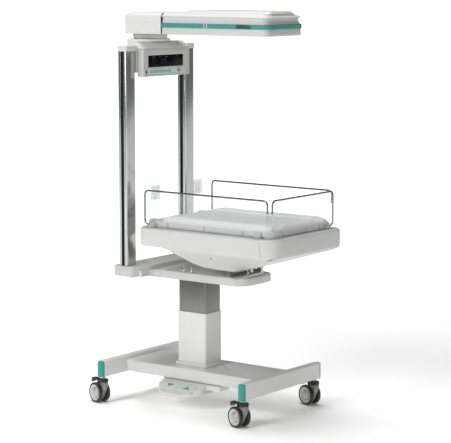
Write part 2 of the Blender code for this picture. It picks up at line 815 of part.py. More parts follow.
# Column collar and tubes
def make_column():
    foot = DECK_TOP_Z - DECK_HEIGHT + FOOT_PLATE_THICK + FIT
    bm = bmesh.new()
    add_sleeve(
        bm,
        column_outline(0, COLUMN_CORNER),
        column_outline(-COLUMN_WALL, COLUMN_CORNER - COLUMN_WALL),
        foot,
        COLUMN_TOP_Z,
    )
    add_piece("lower_column", bm, white_paint, root)

    bm = bmesh.new()
    outer = column_outline(COLLAR_MARGIN, COLLAR_CORNER)
    inner = column_outline(FIT, COLUMN_CORNER + FIT)
    base = DECK_TOP_Z + FIT
    top = base + COLLAR_HEIGHT
    steps = COLLAR_ROUND_STEPS
    shoulder = []
    for turn in (math.pi / 2 * step / steps for step in range(steps + 1)):
        inset = COLLAR_ROUND * (1 - math.cos(turn))
        rounding = column_outline(COLLAR_MARGIN - inset, COLLAR_CORNER - inset)
        shoulder.append((rounding, top - COLLAR_ROUND * (1 - math.sin(turn))))
    path = levels([(outer, base), *shoulder, (inner, top), (inner, base)])
    add_loft(bm, path, closed_path=True)
    add_piece("column_collar", bm, white_plastic, root)

    inset = COLUMN_WALL + COLUMN_GLIDE_GAP
    bm = bmesh.new()
    add_sleeve(
        bm,
        column_outline(-inset, COLUMN_CORNER - COLUMN_WALL),
        column_outline(-inset - INNER_TUBE_WALL, COLUMN_CORNER - COLUMN_WALL - INNER_TUBE_WALL / 2),
        INNER_TUBE_BOTTOM_Z,
        ARM_BOTTOM_Z - FIT,
    )
    add_piece("upper_column", bm, dark_column, lift)

    bm = bmesh.new()
    half = ACTUATOR_FOOT_HALF
    outline = rounded_rectangle(
        (-half, COLUMN_Y - half), (half, COLUMN_Y + half), ACTUATOR_FOOT_CORNER, 2
    )
    add_prism(bm, outline, foot, foot + ACTUATOR_FOOT_HEIGHT)
    actuator = add_piece("lift_actuator", bm, steel, root)
    bm = bmesh.new()
    start = foot + ACTUATOR_FOOT_HEIGHT / 2
    add_rod(bm, ACTUATOR_RADIUS, (0, COLUMN_Y, start), ACTUATOR_TOP_Z - start, "Z", 16)
    join(actuator, bm)
    bm = bmesh.new()
    bore = ACTUATOR_TOP_Z - ACTUATOR_BORE_FLOOR_Z + OVERRUN
    add_rod(
        bm, ROD_RADIUS + RUNNING_FIT, (0, COLUMN_Y, ACTUATOR_BORE_FLOOR_Z), bore, "Z", 16
    )
    cut(actuator, bm)

    bm = bmesh.new()
    add_rod(
        bm, ROD_RADIUS, (0, COLUMN_Y, ROD_BOTTOM_Z), ARM_BOTTOM_Z - FIT - ROD_BOTTOM_Z, "Z", 16
    )
    add_piece("lift_rod", bm, chrome, lift)


make_deck()
for rail_name, rail_y in (("front_rail", -RAIL_Y), ("rear_rail", RAIL_Y)):
    make_rail(rail_name, rail_y)
    for side_name, side in (("left", -1), ("right", 1)):
        make_cap(f"{rail_name}_cap_{side_name}", side, rail_y)
make_column()


# Castor wheel: tyre, dished ring and domed hub cap in one turned shape, its inner face at 0
def wheel_mesh(side):
    outer = WHEEL_WIDTH
    bore_end = outer - AXLE_END_WALL
    profile = [
        (0, bore_end),
        (AXLE_RADIUS + RUNNING_FIT, bore_end),
        (AXLE_RADIUS + RUNNING_FIT, 0),
        (WHEEL_RADIUS - TYRE_SHOULDER, 0),
        (WHEEL_RADIUS, TYRE_SHOULDER),
        (WHEEL_RADIUS, outer - 2 * TYRE_SHOULDER),
        (WHEEL_RADIUS - TYRE_SHOULDER, outer - TYRE_SHOULDER / 2),
        (RING_OUTER_RADIUS, outer - RING_DEPTH),
        (RING_INNER_RADIUS, outer - HUB_DISH_DEPTH),
        (HUB_CAP_RADIUS, outer - HUB_DISH_DEPTH),
        (HUB_CAP_RADIUS * HUB_DOME_SHARE, outer - HUB_DOME_DROP),
        (0, outer + HUB_CAP_RISE),
    ]
    bm = bmesh.new()
    turned = [(radius, side * height) for radius, height in profile]
    add_turned(bm, turned, WHEEL_SIDES, (0, 0, 0), "X", start=math.pi / WHEEL_SIDES)
    mesh = mesh_of(f"wheel_{'outer' if side < 0 else 'inner'}", bm)
    mesh.materials.append(tyre_rubber)
    return mesh


# Castor fork: a web between the wheels, a swivel disc, a stem above and the axle through it
def make_fork(name, parent):
    axle = (TRAIL, WHEEL_AXLE_Z)
    hub = [
        (axle[0] + FORK_HUB_RADIUS * math.cos(angle), axle[1] + FORK_HUB_RADIUS * math.sin(angle))
        for angle in (math.radians(degrees) for degrees in (40, 0, -40, -80, -120, -160))
    ]
    outline = [
        (FORK_BACK_Y, FORK_TOP_Z),
        (FORK_NOSE_Y, FORK_TOP_Z),
        (FORK_NOSE_Y, FORK_NOSE_Z),
        *reversed(hub),
        (FORK_BACK_Y, TONGUE_BOTTOM_Z),
    ]
    bm = bmesh.new()
    add_prism(bm, outline, -FORK_HALF_WIDTH, FORK_HALF_WIDTH, "X")
    mesh = mesh_of(name, bm)
    mesh.materials.append(castor_grey)
    fork = add_copy(name, mesh, parent)
    round_edges(fork, FORK_EDGE, 1)

    disc_top = FORK_TOP_Z + SWIVEL_DISC_HEIGHT
    profile = [
        (0, FORK_TOP_Z - OVERRUN),
        (SWIVEL_DISC_RADIUS - SWIVEL_DISC_ROUND, FORK_TOP_Z - OVERRUN),
        (SWIVEL_DISC_RADIUS, FORK_TOP_Z),
        (SWIVEL_DISC_RADIUS, disc_top - SWIVEL_DISC_ROUND),
        (SWIVEL_DISC_RADIUS - SWIVEL_DISC_ROUND, disc_top),
        (STEM_NECK_RADIUS, disc_top),
        (STEM_NECK_RADIUS, RAIL_BOTTOM_Z - FIT),
        (STEM_RADIUS, RAIL_BOTTOM_Z - FIT),
        (STEM_RADIUS, RAIL_BOTTOM_Z + STEM_RISE),
        (0, RAIL_BOTTOM_Z + STEM_RISE),
    ]
    bm = bmesh.new()
    add_turned(bm, profile, 16, (0, 0, 0), "Z")
    join(fork, bm, drawn_in_place=False)

    bm = bmesh.new()
    reach = WHEEL_INNER_FACE + WHEEL_WIDTH - AXLE_END_WALL - FIT
    add_rod(bm, AXLE_RADIUS, (-reach, TRAIL, WHEEL_AXLE_Z), 2 * reach, "X", 12)
    join(fork, bm, drawn_in_place=False)

    bm = bmesh.new()
    add_block(
        bm,
        (-TONGUE_HALF_WIDTH, FORK_BACK_Y - FORK_EDGE - OVERRUN, TONGUE_BOTTOM_Z - OVERRUN),
        (TONGUE_HALF_WIDTH, BRAKE_PIN_Y + TONGUE_TAIL, TONGUE_TOP_Z),
    )
    join(fork, bm, drawn_in_place=False)
    bm = bmesh.new()
    reach = BRAKE_HALF_WIDTH - BRAKE_PIN_RADIUS
    add_rod(bm, BRAKE_PIN_RADIUS, (-reach, BRAKE_PIN_Y, BRAKE_PIN_Z), 2 * reach, "X", 8)
    join(fork, bm, drawn_in_place=False)


# Brake pedal: a tab over the wheels' trailing side, with two cheeks on the fork's pin
def make_brake(name, parent):
    boss = BRAKE_BOSS_RADIUS
    tail = BRAKE_TAIL_Y - BRAKE_PIN_Y
    top = BRAKE_TOP_Z - BRAKE_PIN_Z
    outline = rounded(
        [
            (-boss, -boss),
            (boss, -boss),
            (tail, top - BRAKE_THICK),
            (tail, top),
            (2 * boss, top),
            (-boss, boss),
        ],
        [boss / 2, boss / 2, BRAKE_THICK / 3, BRAKE_THICK / 2, BRAKE_CORNER, BRAKE_CORNER],
        2,
    )
    bm = bmesh.new()
    add_prism(bm, outline, -BRAKE_HALF_WIDTH, BRAKE_HALF_WIDTH, "X")
    mesh = mesh_of(name, bm)
    mesh.materials.append(black_plastic)
    brake = add_copy(name, mesh, parent)
    bm = bmesh.new()
    cheek = TONGUE_HALF_WIDTH + BRAKE_CHEEK_GAP
    room = boss + BRAKE_CHEEK_GAP
    add_block(bm, (-cheek, -2 * boss, -2 * boss), (cheek, room, room))
    cut(brake, bm, drawn_in_place=False)
    bm = bmesh.new()
    reach = BRAKE_HALF_WIDTH - BRAKE_PIN_RADIUS + FIT
    add_rod(bm, BRAKE_PIN_RADIUS + RUNNING_FIT, (-reach, 0, 0), 2 * reach, "X", 8)
    cut(brake, bm, drawn_in_place=False)


WHEEL_AXLE_Z = WHEEL_RADIUS * math.cos(math.pi / WHEEL_SIDES)
wheel_meshes = {-1: wheel_mesh(-1), 1: wheel_mesh(1)}
castor_places = (
    ("front_left", -SWIVEL_X, -RAIL_Y),
    ("front_right", SWIVEL_X, -RAIL_Y),
    ("rear_left", -SWIVEL_X, RAIL_Y),
    ("rear_right", SWIVEL_X, RAIL_Y),
)
for corner, x, y in castor_places:
    castor = add_pivot(f"castor_pivot_{corner}", (x, y, 0), root, (0, 0, CASTOR_TURN))
    make_fork(f"castor_fork_{corner}", castor)
    for side, word in ((-1, "outer"), (1, "inner")):
        wheel = add_copy(f"castor_wheel_{word}_{corner}", wheel_meshes[side], castor)
        wheel.location = (side * WHEEL_INNER_FACE, TRAIL, WHEEL_AXLE_Z)
    brake_pivot = add_pivot(f"brake_pivot_{corner}", (0, 0, 0), castor)
    brake_pivot.location = (0, BRAKE_PIN_Y, BRAKE_PIN_Z)
    make_brake(f"castor_brake_{corner}", brake_pivot)


# Foot switch: a half-round housing with two keys on its sloping face
def pedal_outline(inset):
    half = PEDAL_HALF_LENGTH - inset
    front = PEDAL_FRONT_X + inset
    corners = [
        (PEDAL_BACK_X, PEDAL_Y - half),
        (PEDAL_BACK_X, PEDAL_Y + half),
        (PEDAL_SHOULDER_X, PEDAL_Y + half),
        (front, PEDAL_Y + half * PEDAL_FRONT_SHARE),
        (front, PEDAL_Y - half * PEDAL_FRONT_SHARE),
        (PEDAL_SHOULDER_X, PEDAL_Y - half),
    ]
    radii = [PEDAL_BACK_CORNER, PEDAL_BACK_CORNER] + [PEDAL_BIG_CORNER - inset] * 4
    return rounded(corners, radii)


def make_pedal():
    top = DECK_TOP_Z - DECK_HEIGHT - FIT
    bm = bmesh.new()
    add_prism(bm, pedal_outline(0), PEDAL_BOTTOM_Z, PEDAL_BOTTOM_Z + PEDAL_RIM_HEIGHT)
    housing = add_piece("pedal_housing", bm, white_plastic, root)
    bm = bmesh.new()
    add_prism(bm, pedal_outline(PEDAL_RIM_STEP), PEDAL_BOTTOM_Z + PEDAL_RIM_HEIGHT / 2, top)
    join(housing, bm)
    bm = bmesh.new()
    y_high = PEDAL_Y - PEDAL_HALF_LENGTH + SWITCH_BOX_LAP
    y_low = y_high - SWITCH_BOX_LENGTH
    x_low = -DECK_HALF_WIDTH + DECK_WALL
    outline = rounded_rectangle(
        (x_low, y_low), (x_low + SWITCH_BOX_DEPTH, y_high), SWITCH_BOX_CORNER, 2
    )
    add_prism(bm, outline, top - SWITCH_BOX_HEIGHT, top)
    join(housing, bm)

    lean = Matrix.Rotation(-PEDAL_SLOPE, 3, "Y")
    drop = math.tan(PEDAL_SLOPE)
    face = Vector((KEY_FACE_X, PEDAL_Y, top - (PEDAL_SLOPE_TOP_X - KEY_FACE_X) * drop))
    reach = PEDAL_SLOPE_TOP_X - PEDAL_FRONT_X
    bm = bmesh.new()
    beyond = 2 * PEDAL_HALF_LENGTH
    add_block(bm, (-2 * reach, -beyond, 0), (2 * reach, beyond, reach))
    bmesh.ops.rotate(bm, matrix=lean, verts=bm.verts, cent=(0, 0, 0))
    bmesh.ops.translate(bm, vec=face, verts=bm.verts)
    cut(housing, bm)

    sunk = KEY_THICK - KEY_PROUD + KEY_TRAVEL + FIT
    for name, side in (("pedal_down_key", 1), ("pedal_up_key", -1)):
        place = face + lean @ Vector((0, side * KEY_PITCH / 2, 0))
        pocket = rounded_rectangle(
            (-KEY_HALF_DEPTH - KEY_GAP, -KEY_HALF_LENGTH - KEY_GAP),
            (KEY_HALF_DEPTH + KEY_GAP, KEY_HALF_LENGTH + KEY_GAP),
            KEY_CORNER + KEY_GAP,
            3,
        )
        bm = bmesh.new()
        add_prism(bm, pocket, -sunk, OVERRUN)
        bmesh.ops.rotate(bm, matrix=lean, verts=bm.verts, cent=(0, 0, 0))
        bmesh.ops.translate(bm, vec=place, verts=bm.verts)
        cut(housing, bm)
        pivot = add_pivot(f"{name}_pivot", place, root, (0, -PEDAL_SLOPE, 0))
        plate = rounded_rectangle(
            (-KEY_HALF_DEPTH, -KEY_HALF_LENGTH), (KEY_HALF_DEPTH, KEY_HALF_LENGTH), KEY_CORNER, 3
        )
        bm = bmesh.new()
        add_prism(bm, plate, KEY_PROUD - KEY_THICK, KEY_PROUD)
        key = add_piece(name, bm, pale_plastic, pivot, drawn_in_place=False)
        round_edges(key, KEY_PROUD / 2, 1)


make_pedal()


# Support arm: a cast beam with a cross foot, ribbed underneath
def make_arm():
    beam_top = ARM_BOTTOM_Z + ARM_BEAM_HEIGHT
    half = ARM_HALF_WIDTH
    rear = ARM_FOOT_ROOT_Y + ARM_FOOT_LAP
    outline = rounded(
        [(-half, ARM_FRONT_Y), (half, ARM_FRONT_Y), (half, rear), (-half, rear)],
        [ARM_FRONT_ROUND, ARM_FRONT_ROUND, 0, 0],
        6,
    )
    bm = bmesh.new()
    add_prism(bm, outline, ARM_BOTTOM_Z, beam_top)
    arm = add_piece("support_arm", bm, white_paint, lift)
    round_edges(arm, ARM_EDGE)

    foot = ARM_FOOT_HALF_WIDTH
    root_x = half + ARM_ROOT_CORNER
    outline = rounded(
        [
            (-foot, ARM_FOOT_REAR_Y),
            (-foot, ARM_FOOT_FRONT_Y),
            (-root_x, ARM_FOOT_ROOT_Y),
            (root_x, ARM_FOOT_ROOT_Y),
            (foot, ARM_FOOT_FRONT_Y),
            (foot, ARM_FOOT_REAR_Y),
        ],
        [ARM_FOOT_CORNER] * 2 + [ARM_ROOT_CORNER] * 2 + [ARM_FOOT_CORNER] * 2,
    )
    bm = bmesh.new()
    add_prism(bm, outline, ARM_FOOT_BOTTOM_Z, ARM_FOOT_TOP_Z)
    join(arm, bm)

    reach = ARM_ROOT_FILLET + ARM_ROOT_CORNER
    front = ARM_FOOT_ROOT_Y - reach
    wide = half + reach
    outline = rounded(
        [
            (-wide, rear),
            (-wide, ARM_FOOT_ROOT_Y),
            (-half, ARM_FOOT_ROOT_Y),
            (-half, front),
            (half, front),
            (half, ARM_FOOT_ROOT_Y),
            (wide, ARM_FOOT_ROOT_Y),
            (wide, rear),
        ],
        [0, 0, ARM_ROOT_FILLET, 0, 0, ARM_ROOT_FILLET, 0, 0],
        6,
    )
    bm = bmesh.new()
    add_prism(bm, outline, ARM_FOOT_BOTTOM_Z, beam_top)
    join(arm, bm)

    for row in range(ARM_POCKET_ROWS):
        middle = ARM_POCKET_FIRST_Y + row * ARM_POCKET_PITCH
        for x in (-ARM_POCKET_X, ARM_POCKET_X):
            bm = bmesh.new()
            add_block(
                bm,
                (x - ARM_POCKET_HALF_X, middle - ARM_POCKET_HALF_Y, ARM_BOTTOM_Z - OVERRUN),
                (x + ARM_POCKET_HALF_X, middle + ARM_POCKET_HALF_Y, beam_top - ARM_SKIN),
            )
            cut(arm, bm)
    foot_middle = (ARM_FOOT_FRONT_Y + ARM_FOOT_REAR_Y) / 2
    for x in (-ARM_FOOT_POCKET_X, ARM_FOOT_POCKET_X):
        bm = bmesh.new()
        add_block(
            bm,
            (x - ARM_FOOT_POCKET_HALF, foot_middle - ARM_FOOT_POCKET_HALF, ARM_FOOT_BOTTOM_Z - OVERRUN),
            (x + ARM_FOOT_POCKET_HALF, foot_middle + ARM_FOOT_POCKET_HALF, ARM_FOOT_TOP_Z - ARM_SKIN),
        )
        cut(arm, bm)
        bm = bmesh.new()
        start = ARM_FOOT_BOTTOM_Z - LEVELLING_BOLT_DROP
        place = (math.copysign(LEVELLING_BOLT_X, x), LEVELLING_BOLT_Y, start)
        add_rod(bm, LEVELLING_BOLT_RADIUS, place, LEVELLING_BOLT_DROP + ARM_SKIN, "Z", 8)
        join(arm, bm)


# Mast posts: a section with a T-slot in each side and an open core
def post_outline():
    half_y = POST_DEPTH / 2
    half_x = POST_WIDTH / 2
    slot = SLOT_WIDTH / 2
    wide = slot + SLOT_UNDERCUT
    lip = half_x - SLOT_LIP
    deep = half_x - SLOT_DEPTH
    right = [
        (half_x, -half_y, POST_CORNER),
        (half_x, -slot, 0),
        (lip, -slot, 0),
        (lip, -wide, 0),
        (deep, -wide, 0),
        (deep, wide, 0),
        (lip, wide, 0),
        (lip, slot, 0),
        (half_x, slot, 0),
        (half_x, half_y, POST_CORNER),
    ]
    whole = right + [(-x, y, radius) for x, y, radius in reversed(right)]
    return rounded([(x, y) for x, y, _ in whole], [radius for _, _, radius in whole], 3)


def make_post(name, side):
    centre = Vector((side * (POST_INNER_X + POST_WIDTH / 2), POST_FRONT_Y + POST_DEPTH / 2))
    outline = [tuple(Vector(point) + centre) for point in post_outline()]
    bm = bmesh.new()
    base = ARM_FOOT_TOP_Z + FIT
    add_prism(bm, outline, base, POST_TOP_Z)
    post = add_piece(name, bm, bright_aluminium, lift)
    bm = bmesh.new()
    add_block(
        bm,
        (centre.x - POST_CORE_HALF_X, centre.y - POST_CORE_HALF_Y, base - OVERRUN),
        (centre.x + POST_CORE_HALF_X, centre.y + POST_CORE_HALF_Y, POST_TOP_Z + OVERRUN),
    )
    cut(post, bm)


# Mast cover: the beam that ties the posts, their caps and the hood over the control unit
def make_mast_cover():
    rear = POST_FRONT_Y + POST_DEPTH
    front = DISPLAY_FRONT_Y
    beam_front = POST_FRONT_Y + FIT
    outline = [
        (rear, BEAM_BOTTOM_Z),
        (rear, BEAM_TOP_Z),
        (HOOD_BREAK_Y, BEAM_TOP_Z),
        (front, HOOD_FRONT_TOP_Z),
        (front, HOOD_SKIRT_Z),
        (beam_front, HOOD_SKIRT_Z),
        (beam_front, BEAM_BOTTOM_Z),
    ]
    bm = bmesh.new()
    add_prism(bm, outline, -BEAM_HALF_WIDTH, BEAM_HALF_WIDTH, "X")
    cover = add_piece("mast_cover", bm, pale_plastic, lift)
    round_edges(cover, COVER_EDGE, 1, math.radians(30.0))
    outer_x = POST_INNER_X + POST_WIDTH + CAP_OVERHANG
    inner_x = BEAM_HALF_WIDTH - OVERRUN
    for side in (-1, 1):
        xs = sorted((side * outer_x, side * inner_x))
        outline = rounded_rectangle(
            (xs[0], POST_FRONT_Y - CAP_OVERHANG),
            (xs[1], rear + CAP_OVERHANG),
            POST_CORNER + CAP_OVERHANG,
            2,
        )
        bm = bmesh.new()
        add_prism(bm, outline, POST_TOP_Z + FIT, POST_TOP_Z + FIT + CAP_HEIGHT)
        join(cover, bm)


# Control unit: a shallow case with a recessed window and a film keypad
def make_display():
    rear = POST_FRONT_Y
    bm = bmesh.new()
    add_block(
        bm,
        (-DISPLAY_HALF_WIDTH, DISPLAY_FRONT_Y, DISPLAY_BOTTOM_Z),
        (DISPLAY_HALF_WIDTH, rear, DISPLAY_TOP_Z),
    )
    case = add_piece("display_case", bm, white_plastic, lift)
    round_edges(case, DISPLAY_EDGE)
    recesses = (
        (WINDOW_X, WINDOW_HALF_WIDTH, WINDOW_BOTTOM_Z, WINDOW_TOP_Z, WINDOW_DEPTH),
        (0, KEYPAD_HALF_WIDTH, KEYPAD_BOTTOM_Z, KEYPAD_TOP_Z, KEYPAD_DEPTH),
    )
    for x, half, low, high, depth in recesses:
        bm = bmesh.new()
        outline = rounded_rectangle((x - half, low), (x + half, high), WINDOW_CORNER, 2)
        add_prism(bm, outline, DISPLAY_FRONT_Y - OVERRUN, DISPLAY_FRONT_Y + depth, "Y")
        cut(case, bm)

    bm = bmesh.new()
    outline = rounded_rectangle(
        (WINDOW_X - WINDOW_HALF_WIDTH + FIT, WINDOW_BOTTOM_Z + FIT),
        (WINDOW_X + WINDOW_HALF_WIDTH - FIT, WINDOW_TOP_Z - FIT),
        WINDOW_CORNER - FIT,
        2,
    )
    add_prism(bm, outline, DISPLAY_FRONT_Y, DISPLAY_FRONT_Y + WINDOW_DEPTH - FIT, "Y")
    add_piece("display_window", bm, black_glass, lift)

    bm = bmesh.new()
    half = KEYPAD_HALF_WIDTH - FIT
    outline = rounded_rectangle(
        (-half, KEYPAD_BOTTOM_Z + FIT), (half, KEYPAD_TOP_Z - FIT), WINDOW_CORNER - FIT, 2
    )
    add_prism(bm, outline, DISPLAY_FRONT_Y, DISPLAY_FRONT_Y + KEYPAD_DEPTH - FIT, "Y")
    keypad = add_piece("keypad", bm, keypad_film, lift)
    pitch = 2 * half / KEYPAD_KEY_COUNT
    key_half = pitch * KEYPAD_KEY_SHARE / 2
    middle_z = (KEYPAD_BOTTOM_Z + KEYPAD_TOP_Z) / 2
    key_half_height = (KEYPAD_TOP_Z - KEYPAD_BOTTOM_Z) / 2 - KEYPAD_MARGIN
    for number in range(KEYPAD_KEY_COUNT):
        x = (number + 0.5) * pitch - half
        bm = bmesh.new()
        add_block(
            bm,
            (x - key_half, DISPLAY_FRONT_Y - KEYPAD_KEY_RISE, middle_z - key_half_height),
            (x + key_half, DISPLAY_FRONT_Y + KEYPAD_DEPTH / 2, middle_z + key_half_height),
        )
        join(keypad, bm)


# Pivot base: a rounded saddle on the mast cover that carries the head's drum
def make_pivot_base():
    base = BEAM_TOP_Z + FIT
    bm = bmesh.new()
    outline = rounded_rectangle(
        (-PIVOT_HALF_WIDTH, PIVOT_FRONT_Y), (PIVOT_HALF_WIDTH, PIVOT_REAR_Y), PIVOT_CORNER, 5
    )
    add_prism(bm, outline, base, PIVOT_TOP_Z)
    saddle = add_piece("pivot_base", bm, white_plastic, lift)
    round_edges(saddle, PIVOT_EDGE)
    behind = POST_FRONT_Y + POST_DEPTH + FIT
    bm = bmesh.new()
    skirt = rounded_rectangle(
        (-PIVOT_HALF_WIDTH, behind), (PIVOT_HALF_WIDTH, PIVOT_REAR_Y), PIVOT_CORNER, 5
    )
    square = [point for point in skirt if point[1] > behind + PIVOT_CORNER]
    outline = [(-PIVOT_HALF_WIDTH, behind), (PIVOT_HALF_WIDTH, behind), *square]
    add_prism(bm, outline, PIVOT_SKIRT_Z, base + PIVOT_EDGE / 2)
    join(saddle, bm)
    bm = bmesh.new()
    lug = PIVOT_HALF_WIDTH / 2
    add_block(
        bm,
        (-lug, behind, PIVOT_LUG_BOTTOM_Z),
        (lug, (behind + PIVOT_REAR_Y) / 2, PIVOT_SKIRT_Z + PIVOT_EDGE),
    )
    join(saddle, bm)
    bm = bmesh.new()
    start = PIVOT_TOP_Z - PIVOT_PIN_LENGTH - RUNNING_FIT
    add_rod(
        bm,
        PIVOT_PIN_RADIUS + RUNNING_FIT,
        (0, SWIVEL_AXIS_Y, start),
        PIVOT_PIN_LENGTH + RUNNING_FIT + OVERRUN,
        "Z",
        16,
    )
    cut(saddle, bm)


make_arm()
make_post("post_left", -1)
make_post("post_right", 1)
make_mast_cover()
make_display()
make_pivot_base()


# Heater head: the hub at the swivel, a trim band and two shells round the heater
def hub_outline(inset):
    half = HUB_HALF_WIDTH - inset
    rear = HUB_REAR_Y - inset
    split = HEAD_SPLIT_Y + FIT
    corners = [(-half, split), (half, split), (half, rear), (-half, rear)]
    radius = max(HUB_CORNER - inset, HUB_WALL)
    return rounded(corners, [0, 0, radius, radius], 5)


def head_outline(inset, front_inset, rear=HEAD_SPLIT_Y):
    half = HEAD_HALF_WIDTH - inset
    front = HEAD_FRONT_Y + front_inset
    corners = [(-half, rear), (-half, front), (half, front), (half, rear)]
    radius = max(HEAD_CORNER - inset, FIT)
    return rounded(corners, [0, radius, radius, 0], 6)


def make_head_hub():
    bottom = HEAD_BOTTOM_Z
    lower_edge = HUB_FOOT_EDGE
    turns = [math.pi / 2 * step / HUB_EDGE_STEPS for step in range(HUB_EDGE_STEPS + 1)]
    shoulder = [
        (
            hub_outline(HUB_EDGE * (1 - math.cos(turn))),
            HUB_TOP_Z - HUB_EDGE * (1 - math.sin(turn)),
        )
        for turn in turns
    ]
    bm = bmesh.new()
    add_loft(
        bm,
        levels(
            [
                (hub_outline(lower_edge), bottom),
                (hub_outline(0), bottom + lower_edge),
                *shoulder,
            ]
        ),
    )
    hub = add_piece("head_hub", bm, white_plastic, head)
    bm = bmesh.new()
    wall = HUB_WALL
    half = HUB_HALF_WIDTH - HUB_EDGE - wall
    rear = HUB_REAR_Y - HUB_EDGE - wall
    add_prism(
        bm,
        rounded_rectangle((-half, HEAD_SPLIT_Y - HUB_CORNER), (half, rear), wall),
        bottom + lower_edge + wall,
        HUB_TOP_Z - wall,
    )
    cut(hub, bm)
    seat = PIVOT_TOP_Z + RUNNING_FIT
    profile = [
        (0, seat - PIVOT_PIN_LENGTH),
        (PIVOT_PIN_RADIUS, seat - PIVOT_PIN_LENGTH),
        (PIVOT_PIN_RADIUS, seat),
        (DRUM_FOOT_RADIUS, seat),
        (DRUM_RADIUS, seat + DRUM_RADIUS - DRUM_FOOT_RADIUS),
        (DRUM_RADIUS, bottom + lower_edge / 2),
        (0, bottom + lower_edge / 2),
    ]
    bm = bmesh.new()
    add_turned(bm, profile, 28, (0, SWIVEL_AXIS_Y, 0), "Z")
    join(hub, bm)


def make_canopy():
    base = BAND_TOP_Z + FIT
    neck_z = (base + SHELL_EAVE_Z) / 2
    lip_z = SHELL_EAVE_Z + SHELL_WALL
    side, neck, eave = BAND_PROUD, SHELL_NECK_INSET, SHELL_EAVE_INSET
    roof = SHELL_ROOF_INSET
    bm = bmesh.new()
    add_loft(
        bm,
        levels(
            [
                (head_outline(side, side), base),
                (head_outline(neck, neck + side), neck_z),
                (head_outline(neck, neck), SHELL_EAVE_Z - SHELL_WALL),
                (head_outline(eave, eave), SHELL_EAVE_Z),
                (head_outline(eave + SHELL_WALL, eave + SHELL_WALL), lip_z),
                (head_outline(roof, roof + SHELL_NECK_INSET), SHELL_ROOF_Z),
            ]
        ),
    )
    canopy = add_piece("head_canopy", bm, white_plastic, head)
    bm = bmesh.new()
    inside = SHELL_WALL + neck
    under = SHELL_ROOF_Z - SHELL_WALL
    beyond = HEAD_SPLIT_Y + OVERRUN
    add_loft(
        bm,
        levels(
            [
                (head_outline(inside, inside + side, beyond), base - OVERRUN),
                (head_outline(inside, inside + side, beyond), SHELL_EAVE_Z),
                (head_outline(roof + SHELL_WALL, roof + inside + SHELL_WALL, beyond), under),
            ]
        ),
    )
    cut(canopy, bm)
    step = PLATEAU_Z - SHELL_ROOF_Z
    half = HEAD_HALF_WIDTH - PLATEAU_INSET
    front = HEAD_FRONT_Y + PLATEAU_INSET / 2
    corner = HEAD_CORNER / 2
    bm = bmesh.new()
    add_loft(
        bm,
        levels(
            [
                (
                    rounded_rectangle(
                        (-half - step, front - step), (half + step, PLATEAU_REAR_Y + step), corner + step
                    ),
                    SHELL_ROOF_Z - SHELL_WALL / 2,
                ),
                (
                    rounded_rectangle((-half, front), (half, PLATEAU_REAR_Y), corner),
                    PLATEAU_Z,
                ),
            ]
        ),
    )
    join(canopy, bm)


def make_trim():
    edge = BAND_EDGE
    outer, inner = head_outline(0, 0), head_outline(BAND_WIDTH, BAND_WIDTH)
    eased = head_outline(edge, edge)
    bm = bmesh.new()
    loops = levels(
        [
            (inner, BAND_BOTTOM_Z),
            (eased, BAND_BOTTOM_Z),
            (outer, BAND_BOTTOM_Z + edge),
            (outer, BAND_TOP_Z - edge),
            (eased, BAND_TOP_Z),
            (inner, BAND_TOP_Z),
        ]
    )
    rings = [[bm.verts.new(point) for point in loop] for loop in loops]
    count = len(loops[0])
    for lower, upper in zip(rings, rings[1:] + rings[:1]):
        for number in range(count - 1):
            bm.faces.new((lower[number], lower[number + 1], upper[number + 1], upper[number]))
    bm.faces.new([ring[0] for ring in rings])
    bm.faces.new([ring[-1] for ring in reversed(rings)])
    add_piece("head_trim", bm, teal_plastic, head)


def make_head_base():
    inset, edge, wall = LOWER_SHELL_INSET, LOWER_SHELL_EDGE, SHELL_WALL
    top = BAND_BOTTOM_Z - FIT
    bm = bmesh.new()
    add_loft(
        bm,
        levels(
            [
                (head_outline(inset + edge, inset + edge), HEAD_BOTTOM_Z),
                (head_outline(inset, inset), HEAD_BOTTOM_Z + edge),
                (head_outline(inset, inset), top),
            ]
        ),
    )
    base = add_piece("head_base", bm, white_plastic, head)
    bm = bmesh.new()
    add_prism(
        bm,
        head_outline(inset + edge + wall, inset + edge + wall, HEAD_SPLIT_Y + OVERRUN),
        HEAD_BOTTOM_Z + wall,
        top + OVERRUN,
    )
    cut(base, bm)
    bm = bmesh.new()
    add_block(
        bm,
        (-HEAT_WINDOW_HALF_X, HEAT_WINDOW_FRONT_Y, HEAD_BOTTOM_Z - OVERRUN),
        (HEAT_WINDOW_HALF_X, HEAT_WINDOW_REAR_Y, HEAD_BOTTOM_Z + wall + OVERRUN),
    )
    cut(base, bm)
    bm = bmesh.new()
    start = HEAD_BOTTOM_Z - OVERRUN
    add_rod(bm, LAMP_RADIUS + FIT, (0, LAMP_Y, start), wall + 2 * OVERRUN, "Z", 20)
    cut(base, bm)


